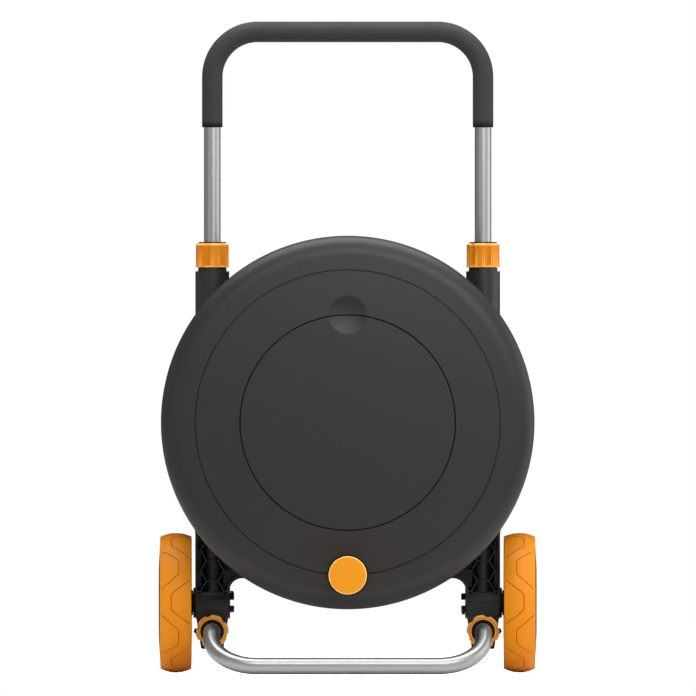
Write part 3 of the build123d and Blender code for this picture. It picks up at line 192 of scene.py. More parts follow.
def welded(mesh: bpy.types.Mesh, turn_out: bool) -> None:
    """Joins doubled points and drops slivers.

    Args:
        mesh: the mesh to change.
        turn_out: whether the faces are also turned outwards.
    """
    shell = bmesh.new()
    shell.from_mesh(mesh)
    bmesh.ops.remove_doubles(shell, verts=shell.verts, dist=WELD)
    bmesh.ops.dissolve_degenerate(shell, edges=shell.edges, dist=WELD / 2)
    if turn_out:
        bmesh.ops.recalc_face_normals(shell, faces=shell.faces)
    shell.to_mesh(mesh)
    shell.free()


@dataclass
class Skin:
    """Grids of points that are gathered into one mesh."""

    points: list[Array] = field(default_factory=list)
    faces: list[Array] = field(default_factory=list)
    marks: list[Array] = field(default_factory=list)
    flows: list[Array] = field(default_factory=list)
    count: int = 0

    def grid(
        self, xyz: Array, wrap: bool = True, ring: bool = False, mark: Array | float = 0.0,
        flow: Array | None = None,
    ) -> "Skin":
        """Adds a grid as quads.

        Args:
            xyz: points of shape (rows, columns, 3).
            wrap: whether the last column joins the first.
            ring: whether the last row joins the first.
            mark: value from 0 to 1 kept at each point for the finish's marked colour: painted shade in
                grooves and gaps, painted highlights on rounded edges; on the tyre it is the groove depth.
            flow: pattern coordinates that follow the surface; the points themselves if none.

        Returns:
            The same skin.
        """
        rows, columns = xyz.shape[:2]
        index = np.arange(rows * columns).reshape(rows, columns) + self.count
        index = np.pad(index, ((0, int(ring)), (0, int(wrap))), mode="wrap")
        quads = np.stack([index[:-1, :-1], index[:-1, 1:], index[1:, 1:], index[1:, :-1]], axis=-1)
        self.points.append(xyz.reshape(-1, 3))
        self.faces.append(quads.reshape(-1, 4))
        self.marks.append(np.broadcast_to(mark, (rows, columns)).reshape(-1))
        self.flows.append((xyz if flow is None else flow).reshape(-1, 3))
        self.count += rows * columns
        return self

    def turned(
        self, profile: Array, place: Place, segments: int = 128, mark: Array | float = 0.0
    ) -> "Skin":
        """Adds a closed profile turned about a place's z axis."""
        surface = place.put(spin(profile, turn_angles(segments)))
        return self.grid(surface, ring=True, mark=np.reshape(mark, (-1, 1)))

    def block(self, size: Sequence[float], place: Place) -> "Skin":
        """Adds a box around a place's origin: a square carried from its floor to its top.

        The square's width is zero at the first and last row, which closes both ends.

        Args:
            size: the box's three sizes.
            place: its middle and its directions.

        Returns:
            The same skin.
        """
        corner = np.array([[-1.0, -1.0], [1.0, -1.0], [1.0, 1.0], [-1.0, 1.0]]) / 2
        width = np.array([0.0, 1.0, 1.0, 0.0])[:, None, None]
        height = np.broadcast_to(np.array([-0.5, -0.5, 0.5, 0.5])[:, None, None], (4, 4, 1))
        cube = np.concatenate([width * corner, height], axis=2)
        return self.grid(place.put(cube * np.array(size)))

    def finish(self, part: "Part") -> bpy.types.Object:
        """Welds the grids into one mesh and dresses it.

        Args:
            part: what the piece is.

        Returns:
            The new object.
        """
        mesh = bpy.data.meshes.new(part.name)
        points, faces = np.concatenate(self.points), np.concatenate(self.faces)
        mesh.from_pydata(points.tolist(), [], faces.tolist())
        # The mark attribute carries the painted shade and painted highlights that the finishes blend in.
        painted_light_mark = mesh.attributes.new("mark", "FLOAT", "POINT")
        painted_light_mark.data.foreach_set("value", np.concatenate(self.marks).astype(np.float32))
        stream = mesh.attributes.new("flow", "FLOAT_VECTOR", "POINT")
        stream.data.foreach_set("vector", np.concatenate(self.flows).astype(np.float32).reshape(-1))
        welded(mesh, turn_out=True)
        return part.dress(mesh)


@dataclass(frozen=True)
class Part:
    """A piece: its name, the CAD body it rides on, the CAD node it stands for, and its finish.

    Edges sharper than the sharp angle, in degrees, stay crisp. With a bevel they are rounded by
    that width.
    """

    name: str
    body: str
    node: str
    finish: "Finish"
    sharp: float = 35.0
    bevel: float = 0.0

    def dress(self, mesh: bpy.types.Mesh) -> bpy.types.Object:
        """Makes the object, shades, rounds and paints it, and hands it to the frame.

        Args:
            mesh: the mesh, with the piece in its place.

        Returns:
            The new object.
        """
        piece = bpy.data.objects.new(self.name, mesh)
        bpy.context.scene.collection.objects.link(piece)
        mesh.polygons.foreach_set("use_smooth", np.ones(len(mesh.polygons), bool))
        mesh.set_sharp_from_angle(angle=math.radians(self.sharp))
        if self.bevel:
            rounding = piece.modifiers.new("rounding", "BEVEL")
            rounding.width, rounding.segments = self.bevel, 2
            rounding.limit_method, rounding.angle_limit = "ANGLE", math.radians(self.sharp)
            rounding.harden_normals = rounding.use_clamp_overlap = True
        mesh.materials.clear()
        mesh.materials.append(self.finish.material())
        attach(piece, self.body)
        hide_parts(self.node)
        LOG.info("%s: %d faces on %s", piece.name, len(mesh.polygons), self.body)
        return piece


def refined(node: str, body: str, finish: "Finish") -> bpy.types.Object:
    """A welded copy of a CAD node with smooth curves and crisp edges.

    Args:
        node: the CAD node.
        body: its body.
        finish: the finish that dresses the copy.

    Returns:
        The copy, which stands for the node.
    """
    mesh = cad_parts[node].data.copy()
    mesh.name = f"{node}_finished"
    welded(mesh, turn_out=False)
    for layer in [a.name for a in mesh.attributes if a.name.startswith("custom_normal")]:
        mesh.attributes.remove(mesh.attributes[layer])
    return Part(mesh.name, body, node, finish, sharp=30.0).dress(mesh)


# ---- Finishes ----------------------------------------------------------------------------

class Pattern(Enum):
    """Which coordinates a finish's pattern follows."""

    OBJECT = "object"
    FLOW = "flow"


@dataclass(frozen=True)
class Wiring:
    """A shader node tree that is filled by short calls."""

    tree: bpy.types.NodeTree

    def join(self, value: Value, socket: Socket) -> None:
        """Links a socket to an input, or sets the input to a constant.

        Args:
            value: the socket or the constant.
            socket: the input.
        """
        if isinstance(value, Socket):
            self.tree.links.new(value, socket)
        else:
            socket.default_value = value

    def node(self, kind: str, links: dict | None = None, **settings: object) -> bpy.types.Node:
        """Adds a node, sets its properties and joins its inputs.

        Args:
            kind: the node's type name without "ShaderNode".
            links: input name or number to a socket or a constant.
            settings: node properties.

        Returns:
            The node.
        """
        made = self.tree.nodes.new("ShaderNode" + kind)
        for key, value in settings.items():
            setattr(made, key, value)
        for key, value in (links or {}).items():
            self.join(value, made.inputs[key])
        return made

    def maths(self, operation: str, *values: Value) -> Socket:
        """Result of one operation on sockets or constants."""
        return self.node("Math", dict(enumerate(values)), operation=operation).outputs[0]

    def noise(self, vector: Socket, scale: Socket | float, detail: float) -> Socket:
        """Cloudy noise from 0 to 1."""
        return self.node("TexNoise", {"Vector": vector, "Scale": scale, "Detail": detail}).outputs["Fac"]

    def span(
        self, value: Socket, start: float, end: float, low: Value = 0.0, high: Value = 1.0
    ) -> Socket:
        """Carries a value from the range start to end to the range low to high, and holds it there."""
        ends = {"From Min": start, "From Max": end, "To Min": low, "To Max": high}
        return self.node("MapRange", {"Value": value, **ends}).outputs[0]

    def mixed(self, factor: Socket, first: Value, second: Value) -> Socket:
        """Mix of two colours.

        Args:
            factor: share of the second colour.
            first: colour at 0, a socket or four values.
            second: colour at 1, a socket or four values.

        Returns:
            The mixed colour's socket.
        """
        mix = self.node("Mix", data_type="RGBA")
        for key, value in (("Factor", factor), ("A", first), ("B", second)):
            self.join(value, next(i for i in mix.inputs if i.name == key and i.enabled))
        return next(o for o in mix.outputs if o.enabled)


@dataclass(frozen=True)
class Layer(Wiring):
    """Inside of a node group: its coordinates and the scale of its pattern, 1 / size."""

    vector: Socket
    scale: Socket

    def grain(self) -> dict[str, Socket]:
        """Fine moulded grain: small rounded cells broken up by noise.

        Returns:
            The grain's height from 0 to 1.
        """
        cells = self.node("TexVoronoi", {"Vector": self.vector, "Scale": self.scale}, feature="SMOOTH_F1")
        noise = self.noise(self.vector, self.scale, detail=2.0)
        return {"Height": self.maths("MULTIPLY", noise, cells.outputs["Distance"])}

    def scuffs(self) -> dict[str, Socket]:
        """Thin rubbed lines and smudges: stretched noise kept only near its middle value.

        Returns:
            Lines and smudges, from 0 to 1.
        """
        turn, scale = (0.3, 0.5, 0.9), (1.0, 14.0, 1.0)
        stretched = self.node("Mapping", {"Vector": self.vector, "Rotation": turn, "Scale": scale})
        lines = self.noise(stretched.outputs[0], self.scale, detail=4.0)
        off = self.maths("ABSOLUTE", self.maths("SUBTRACT", lines, 0.5))
        where = self.noise(self.vector, self.scale, detail=1.0)
        both = self.maths("MULTIPLY", self.span(off, 0.0, 0.008, 1.0, 0.0), self.span(where, 0.55, 0.7))
        return {"Lines": both, "Smudge": where}

    def dust(self) -> dict[str, Socket]:
        """Light dust on faces that look up, broken by noise.

        Returns:
            The dust's mask from 0 to 1.
        """
        up = self.node("SeparateXYZ", {0: self.node("TexCoord").outputs["Normal"]}).outputs["Z"]
        thin = self.span(self.noise(self.vector, self.scale, detail=6.0), 0.35, 0.75)
        return {"Mask": self.maths("MULTIPLY", self.span(up, 0.25, 1.0), thin)}


def group(name: str, size: float, fill: Callable[[Layer], dict[str, Socket]]) -> bpy.types.NodeTree:
    """A node group with the inputs Vector and Size, made on first use.

    Args:
        name: the group's name.
        size: the pattern's usual size.
        fill: makes the pattern and gives its outputs by name.

    Returns:
        The group.
    """
    known = bpy.data.node_groups.get(name)
    if known:
        return known
    tree = bpy.data.node_groups.new(name, "ShaderNodeTree")
    tree.interface.new_socket(name="Vector", in_out="INPUT", socket_type="NodeSocketVector")
    tree.interface.new_socket(name="Size", in_out="INPUT", socket_type="NodeSocketFloat").default_value = size
    given = tree.nodes.new("NodeGroupInput").outputs
    outputs = fill(Layer(tree, given["Vector"], Wiring(tree).maths("DIVIDE", 1.0, given["Size"])))
    for label in outputs:
        tree.interface.new_socket(name=label, in_out="OUTPUT", socket_type="NodeSocketFloat")
    end = tree.nodes.new("NodeGroupOutput")
    for label, value in outputs.items():
        tree.links.new(value, end.inputs[label])
    return tree


DUST_COLOUR = (0.32, 0.29, 0.25, 1.0)


@dataclass(frozen=True)
class Finish:
    """A surface finish and the record's slot that it belongs to."""

    name: str
    slot: str
    colour: tuple[float, float, float]
    rough: float = 0.45
    rough_spread: float = 0.06
    metal: float = 0.0
    specular: float = 0.5
    grain: float = 0.0006
    relief: float = 0.00002
    drift: float = 0.06
    scuffs: float = 0.15
    dust: float = 0.05
    # Colour blended in where the mesh's mark is set: painted shade in grooves and gaps, painted highlights on
    # rounded edges.
    painted_light_colour: tuple[float, float, float] | None = None
    pattern: Pattern = Pattern.OBJECT
    stretch: tuple[float, float, float] = (1.0, 1.0, 1.0)

    def material(self) -> bpy.types.Material:
        """Builds the material on first use.

        The base colour drifts slowly with noise, is lightened along rubbed lines and where
        dust settles, and turns to the marked colour where the mesh's mark says so: painted shade
        in grooves and gaps, painted highlights on rounded edges. Roughness follows
        the smudges, and the grain gives the bump.

        Returns:
            The material.
        """
        known = bpy.data.materials.get(self.name)
        if known:
            return known
        made = bpy.data.materials.new(self.name)
        made.use_nodes = True
        made.node_tree.nodes.clear()
        wires = Wiring(made.node_tree)
        vector = self.coordinates(wires)

        def layer(tree: bpy.types.NodeTree, **inputs: Value) -> bpy.types.NodeOutputs:
            """Outputs of a node group on the finish's coordinates."""
            return wires.node("Group", {"Vector": vector, **inputs}, node_tree=tree).outputs

        scuff = layer(group("handling_marks", 20 * MM, Layer.scuffs))
        dust = layer(group("settled_dust", 30 * MM, Layer.dust))
        grain = layer(group("moulded_grain", 0.5 * MM, Layer.grain), Size=self.grain)
        low, high = (tuple(c * k for c in self.colour) + (1.0,) for k in (1 - self.drift, 1 + self.drift))
        colour = wires.mixed(wires.noise(vector, scale=9.0, detail=3.0), low, high)
        # Painted shade and painted highlights: the mark blends in the finish's marked colour.
        if self.painted_light_colour:
            mark = wires.node("Attribute", attribute_name="mark").outputs["Fac"]
            colour = wires.mixed(mark, colour, self.painted_light_colour + (1.0,))
        pale = tuple(0.5 * c + 0.12 for c in self.colour) + (1.0,)
        colour = wires.mixed(wires.maths("MULTIPLY", scuff["Lines"], self.scuffs), colour, pale)
        colour = wires.mixed(wires.maths("MULTIPLY", dust["Mask"], self.dust), colour, DUST_COLOUR)
        bump = wires.node("Bump", {"Height": grain["Height"], "Distance": self.relief, "Strength": 1.0})
        shader = wires.node("BsdfPrincipled", {
            "Base Color": colour, "Normal": bump.outputs[0], "Metallic": self.metal,
            "Specular IOR Level": self.specular, "Roughness": wires.span(
                scuff["Smudge"], 0.3, 0.7, self.rough - self.rough_spread, self.rough + self.rough_spread
            ),
        })
        wires.node("OutputMaterial", {"Surface": shader.outputs[0]})
        return made

    def coordinates(self, wires: Wiring) -> Socket:
        """Coordinates of the pattern, stretched as the finish asks.

        Args:
            wires: the material's wiring.

        Returns:
            The coordinates' socket.
        """
        if self.pattern is Pattern.FLOW:
            source = wires.node("Attribute", attribute_name="flow").outputs["Vector"]
        else:
            source = wires.node("TexCoord").outputs["Object"]
        return wires.node("Mapping", {"Vector": source, "Scale": self.stretch}).outputs[0]


# Its marked colour, near black, is painted shade in the face's groove, down the gap round the lid and on the
# ledge under it.
REEL_BLACK = Finish(
    "reel_black", "reel_plastic", (0.0172, 0.0152, 0.0136), rough=0.45, rough_spread=0.012, specular=0.37,
    painted_light_colour=(0.002, 0.002, 0.002),
)
FRAME_BLACK = Finish("frame_black", "frame_plastic", (0.0045, 0.0045, 0.0042), rough=0.45, specular=0.52)
DEEP_BLACK = Finish("deep_black", "black_plastic", (0.004, 0.004, 0.004), rough=0.45, specular=0.18)
# Its marked colour, a pale orange, is a painted highlight on the knob cap's bevelled rim.
ORANGE = Finish(
    "knob_orange", "orange_plastic", (0.71, 0.262, 0.004), rough=0.42, rough_spread=0.03, specular=0.25,
    drift=0.03, scuffs=0.1, dust=0.0, painted_light_colour=(0.98, 0.56, 0.17),
)
# A darker copy of the knob's orange on the same slot: the darkening is painted shade. Its marked colour, a
# pale orange, is a painted highlight on the lip, the rounded front edge and the mouth's rim.
COLLAR_ORANGE = replace(
    ORANGE, name="collar_orange", colour=(0.62, 0.195, 0.003), rough=0.44, specular=0.12,
    painted_light_colour=(0.92, 0.44, 0.11),
)
# Near-black, dull copy of the reel's plastic on the same slot: painted shade on the ring round the knob.
PAINTED_SEAT_SHADE = Finish(
    "painted_seat_shade", "reel_plastic", (0.0015, 0.0013, 0.0012), rough=0.8, specular=0.04, scuffs=0.02, dust=0.0
)
# Its marked colour, a dark orange, is painted shade in the tread's grooves.
TYRE_ORANGE = Finish(
    "tyre_orange", "orange_tyre", (0.735, 0.237, 0.004), rough=0.5, specular=0.2, drift=0.03, dust=0.0,
    painted_light_colour=(0.42, 0.12, 0.004),
)
# Its marked colour, near black, is painted shade on the sleeve's rounded ends.
GRIP = Finish(
    "grip_sleeve", "grip_foam", (0.038, 0.038, 0.036), rough=0.6, specular=0.1, grain=0.0009, relief=0.00006,
    painted_light_colour=(0.003, 0.003, 0.003),
)
HANDLE_METAL = Finish(
    "handle_satin", "handle_aluminium", (0.345, 0.345, 0.34), rough=0.31, rough_spread=0.008, metal=1.0,
    grain=0.0008, relief=0.0000002, drift=0.02, scuffs=0.03, dust=0.0, pattern=Pattern.FLOW,
    stretch=(1.0, 1.0, 0.04),
)
FOOT_METAL = replace(
    HANDLE_METAL, name="foot_bright", slot="foot_aluminium", colour=(0.34, 0.34, 0.335), rough=0.37,
    rough_spread=0.02, relief=0.0000005, drift=0.03, scuffs=0.08,
)
STEEL = Finish(
    "zinc_bright", "steel", (0.55, 0.56, 0.58), rough=0.32, metal=1.0, grain=0.001, relief=0.000005
)
ACETAL = Finish("acetal_white", "acetal", (0.72, 0.72, 0.69), rough=0.35, drift=0.02)
RUBBER = Finish("rubber_black", "seal_rubber", (0.01, 0.01, 0.01), rough=0.6)


# ---- Reel ----------------------------------------------------------------------------------

@dataclass
class ReelFace:
    """Domed front flange and flush lid, parted by a round gap with a finger scoop over it."""

    radius: float = 280.0 * MM
    edge_width: float = 29.0 * MM
    edge_drop: float = 20.0 * MM
    edge_lip: float = 5.5 * MM
    dome_reach: float = 258.5 * MM
    rise: float = 8.0 * MM
    skin: float = 3.0 * MM
    mouth: float = 162.3 * MM
    lid: float = 160.3 * MM
    gap_middle: float = 161.3 * MM
    depth: float = 20.0 * MM
    groove: float = 228.5 * MM
    groove_width: float = 1.8 * MM
    groove_depth: float = 2.0 * MM
    scoop_radius: float = 28.5 * MM
    scoop_depth: float = 4.2 * MM
    clear_ring: float = 205.0 * MM
    lid_clear: float = 118.0 * MM
    seat_radius: float = 30.3 * MM
    seat_height: float = 3.0 * MM
    ledge_width: float = 10.0 * MM
    ledge_drop: float = 13.0 * MM
    spindle_boss: float = 10.5 * MM
    ribs: int = 12
    rib_half: float = 1.1 * MM
    rib_depth: float = 15.0 * MM
    bosses: int = 6
    boss_circle: float = 175.5 * MM
    boss_radius: float = 4.5 * MM
    boss_top: float = 6.0 * MM
    lid_ribs: int = 6
    lid_ring: tuple[float, float] = (62.5 * MM, 64.0 * MM)
    lid_depth: float = 9.0 * MM
    tongues: int = 4
    tongue: tuple[float, float, float] = (2.6 * MM, 14.0 * MM, 10.5 * MM)
    tongue_circle: float = 150.2 * MM
    tongue_drop: float = 9.5 * MM
    sunk: float = 0.02 * MM
    seat_soft: float = 0.8 * MM
    lid_seat: float = 0.3 * MM
    rib_gap: float = 2.0 * MM
    rounding: float = 0.2 * MM
    scoop_columns: int = 65
    other_columns: int = 288

    def __post_init__(self) -> None:
        """Finds the disc's middle and works out the dome's radius."""
        middle = centre_of("front_flange")
        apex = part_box("storage_lid")[0].y
        self.place = Place((middle.x, apex, middle.z), z=(0.0, -1.0, 0.0))
        self.dome = (self.dome_reach**2 + self.rise**2) / (2 * self.rise)
        self.knob_place = self.place.moved(0, -self.groove, 0)
        self.knob_height = float(self.face(self.groove)) + self.seat_height

    def face(self, radius: Array | float) -> Array:
        """Height of the domed face: the dome's circle, zero at the middle and falling outwards."""
        return np.sqrt(self.dome**2 - np.minimum(radius, self.dome) ** 2) - self.dome

    def scooped(self, plane: Array, drop: float = 0.0) -> Array:
        """Height of the face with the scoop, at points of the plane.

        Inside the scoop's circle the face is lowered by the cap of a ball whose cap is the scoop's
        radius wide and its depth deep.

        Args:
            plane: points in the plane, last axis x and y.
            drop: how far under the surface.

        Returns:
            Heights of the same leading shape.
        """
        ball = (self.scoop_radius**2 + self.scoop_depth**2) / (2 * self.scoop_depth)
        off = np.linalg.norm(plane - np.array([0, self.gap_middle]), axis=-1)
        cap = np.sqrt(np.maximum(ball**2 - off**2, 0)) - (ball - self.scoop_depth)
        return self.face(np.linalg.norm(plane, axis=-1)) - drop - np.maximum(cap, 0)

    def edge(self, inset: float, count: int) -> Array:
        """Profile of the flange's rounded edge, from the face outwards.

        The dome's height less a quarter of an oval that is level where it starts and upright at
        the rim, so the face runs into the edge without a crease.

        Args:
            inset: how far under the surface.
            count: points along it.

        Returns:
            Rows of radius and height.
        """
        turned = np.linspace(0, math.pi / 2, count)
        radius = self.radius - self.edge_width + (self.edge_width - inset) * np.sin(turned)
        drop = (self.edge_drop - inset) * (1 - np.cos(turned))
        return np.stack([radius, self.face(radius) - inset - drop], axis=1)

    def columns(self, edge: float, outer: bool) -> tuple[Array, Array, Array]:
        """Angles of the columns, their foot on the scoop's rim or the gap, and on the gap itself.

        The scoop's columns run evenly along its half circle on that side of the gap; the
        others stand evenly along the rest of the gap's edge.

        Args:
            edge: radius of the gap's edge on that side.
            outer: whether the side is the flange's, outside the gap.

        Returns:
            Angles, rim points and gap points, the scoop's columns first.
        """
        level = (edge**2 + self.gap_middle**2 - self.scoop_radius**2) / (2 * self.gap_middle)
        corner = math.sqrt(edge**2 - level**2)
        half = math.atan2(corner, level)
        start = math.atan2(level - self.gap_middle, corner)
        low, high = (math.pi - start, start) if outer else (math.pi - start, 2 * math.pi + start)
        round_ = np.linspace(low, high, self.scoop_columns)
        rim = np.array([0, self.gap_middle]) + self.scoop_radius * ways(round_)
        along = np.linspace(math.pi / 2 + half, math.pi / 2 - half, self.scoop_columns)
        rest = np.linspace(math.pi / 2 - half, -1.5 * math.pi + half, self.other_columns + 2)[1:-1]
        angles = np.concatenate([along, rest])
        gap = edge * ways(angles)
        return angles, np.concatenate([rim, gap[self.scoop_columns:]]), gap

    @staticmethod
    def rows(start: Array, end: Array, count: int) -> Array:
        """Straight rows from one line of plane points to another, both included."""
        share = np.linspace(0, 1, count)[:, None, None]
        return start + (end - start) * share

    @staticmethod
    def lifted(plane: Array, height: Array) -> Array:
        """Plane points and heights as points in space."""
        return np.concatenate([plane, height[..., None]], axis=-1)

    def ring(self) -> Skin:
        """Front flange: face, groove, rounded rim, back, mouth wall and the outer half of the scoop.

        Returns:
            The flange's skin.
        """
        angles, rim, gap = self.columns(self.mouth, outer=True)
        way = ways(angles)
        inner = self.rows(rim, self.clear_ring * way, 14)
        near = self.lifted(inner, self.face(np.linalg.norm(inner, axis=-1)))
        reach, skin = self.radius - self.edge_width, self.skin
        level = float(self.face(self.radius)) - self.edge_drop
        half = self.groove_width / 2
        notch = self.groove + half * np.array([-1, -1, 1, 1])
        face = np.concatenate([
            np.linspace(self.clear_ring, self.groove - half, 5)[1:-1], notch,
            np.linspace(self.groove + half, reach, 6)[1:-1],
        ])
        lowered = np.zeros(len(face))
        lowered[4:6] = self.groove_depth
        front = np.stack([face, self.face(face) - lowered], axis=1)
        back = np.linspace(reach, self.clear_ring, 7)[1:]
        end = level - self.edge_lip
        profile = np.concatenate([
            front, self.edge(0.0, 25), [[self.radius, end], [self.radius - skin, end]],
            self.edge(skin, 17)[::-1], np.stack([back, self.face(back) - skin], axis=1),
        ])
        outer = spin(profile, angles)
        wall = self.mouth + skin
        under = self.rows(self.clear_ring * way, wall * way, 14)[1:]
        deep = np.minimum(self.face(np.linalg.norm(under, axis=-1)) - skin, self.scooped(under, skin))
        foot = np.array([[wall, -self.depth], [self.mouth, -self.depth]])
        top = self.lifted(gap, self.scooped(gap))[None]
        whole = np.concatenate([near, outer, self.lifted(under, deep), spin(foot, angles), top])
        # Painted shade: the groove's floor and the mouth wall's foot get the marked near-black, fading up the
        # wall to the gap.
        painted_shade = np.zeros((len(whole), 1))
        painted_shade[len(near) + 4:len(near) + 6] = 1.0
        painted_shade[-3:-1] = 1.0
        return self.with_scoop(Skin().grid(self.place.put(whole), mark=painted_shade), gap, rim)

    def with_scoop(self, skin_: Skin, start: Array, end: Array) -> Skin:
        """Adds one side's half of the scoop.

        Args:
            skin_: the skin that gets it.
            start: plane points that its rows start from, the scoop's columns first.
            end: plane points that its rows end at.

        Returns:
            The same skin.
        """
        scoop = slice(0, self.scoop_columns)
        patch = self.rows(start[scoop], end[scoop], 18)
        return skin_.grid(self.place.put(self.lifted(patch, self.scooped(patch))), wrap=False)

    def lid_skin(self) -> Skin:
        """Lid: face, edge, underside and the inner half of the scoop.

        Returns:
            The lid's skin.
        """
        angles, rim, gap = self.columns(self.lid, outer=False)
        way = ways(angles)
        middle = self.rows(0 * way, self.lid_clear * way, 12)
        near = self.rows(self.lid_clear * way, rim, 12)[1:]
        top = np.concatenate([middle, near])
        face = self.lifted(top, self.face(np.linalg.norm(top, axis=-1)))
        under = self.rows(gap, 0 * way, 30)
        deep = self.scooped(under, self.skin)
        edge = self.lifted(gap, self.scooped(gap))[None]
        closed = np.concatenate([edge, self.lifted(under, deep)])
        # Painted shade: the lid's edge wall darkens to the marked near-black at its foot, and so do the first
        # underside rows inside the gap.
        painted_shade = np.zeros((len(closed), 1))
        painted_shade[1:3] = 1.0
        skin_ = Skin().grid(self.place.put(face[::-1])).grid(self.place.put(closed), mark=painted_shade)
        return self.with_scoop(skin_, rim, gap)

    def build(self) -> None:
        """Makes flange and lid with their ribs, seats and tongues."""
        flange, lid = self.ring(), self.lid_skin()
        self.ring_extras(flange)
        self.lid_extras(lid)
        flange.finish(Part("front_flange_face", "reel", "front_flange", REEL_BLACK, bevel=self.rounding))
        lid.finish(Part("storage_lid_face", "lid", "storage_lid", REEL_BLACK, bevel=self.rounding))

    @staticmethod
    def bar(inner: float, outer: float, top: float, low: float) -> Array:
        """Upright rectangular profile between two radii and two heights."""
        return np.array([[inner, top], [outer, top], [outer, low], [inner, low]])

    def ring_extras(self, skin_: Skin) -> None:
        """Adds the lid's ledge, the knob's seat, the back ribs and the screw bosses.

        Args:
            skin_: the flange's skin.
        """
        wall, low = self.mouth + self.skin / 2, -self.ledge_drop - self.skin
        ledge = self.bar(self.mouth - self.ledge_width, wall, -self.ledge_drop, low)
        # The ledge seen through the gap is all painted shade in the marked near-black.
        skin_.turned(ledge, self.place, 256, mark=1.0)
        base, height, soft = self.knob_height - 2 * self.seat_height, self.knob_height, self.seat_soft
        round_ = arc((self.seat_radius - soft, height - soft), soft, 90, 0, 4)
        seat = np.concatenate([[[0, base], [0, height]], round_, [[self.seat_radius, base]]])
        skin_.turned(seat, self.knob_place, 96)
        skin_.turned(self.bar(0, self.spindle_boss, -self.depth, base), self.knob_place, 48)
        self.spokes(skin_, self.ribs, wall, self.radius - self.edge_width, self.depth)
        for angle in turn_angles(self.bosses):
            spot = self.place.moved(*self.boss_circle * ways(angle), 0)
            skin_.turned(self.bar(0, self.boss_radius, -self.depth, -self.boss_top), spot, 32)

    def lid_extras(self, skin_: Skin) -> None:
        """Adds the lid's rim, stiffening ring, ribs and snap tongues.

        Args:
            skin_: the lid's skin.
        """
        rim = self.mouth - self.ledge_width / 2
        way = ways(turn_angles(384))
        inside, outside = (rim - self.skin) * way, rim * way
        foot = np.full(len(way), -self.ledge_drop + self.lid_seat)
        top = np.minimum(self.scooped(inside), self.scooped(outside)) - self.skin / 2
        low = np.minimum(foot, top - self.sunk)
        corners = ((inside, top), (outside, top), (outside, low), (inside, low))
        skin_.grid(self.place.put(np.stack([self.lifted(*corner) for corner in corners])), ring=True)
        skin_.turned(self.bar(*self.lid_ring, -self.skin, -self.lid_depth), self.place, 96)
        self.spokes(skin_, self.lid_ribs, self.rib_gap, rim - self.rib_gap, self.lid_depth)
        for angle in turn_angles(self.tongues) + math.pi / self.tongues:
            across, up = ways(angle)
            middle = self.place.moved(self.tongue_circle * across, self.tongue_circle * up, -self.tongue_drop)
            skin_.block(self.tongue, replace(middle, x=(across, 0.0, up)))

    def spokes(self, skin_: Skin, count: int, inner: float, outer: float, depth: float) -> None:
        """Adds radial ribs whose tops lie in the skin and whose feet lie at a depth.

        Args:
            skin_: the skin that gets them.
            count: how many ribs.
            inner: radius where they start.
            outer: radius where they end.
            depth: how far back their feet may lie.
        """
        radius = np.linspace(inner, outer, 25)
        for angle in turn_angles(count) + math.pi / count:
            spine = radius[:, None] * ways(angle)
            half = self.rib_half * ways(angle + math.pi / 2)
            top = self.scooped(spine) - self.skin / 2
            foot = np.maximum(-depth, self.face(radius) - self.skin - self.rib_depth)
            foot = np.minimum(foot, top - self.sunk)
            rows = np.stack([
                self.lifted(spine - half, foot), self.lifted(spine + half, foot),
                self.lifted(spine + half, top), self.lifted(spine - half, top),
            ], axis=1)
            first, last = (row.mean(axis=1, keepdims=True).repeat(4, axis=1) for row in (rows[:1], rows[-1:]))
            skin_.grid(self.place.put(np.concatenate([first, rows, last])))


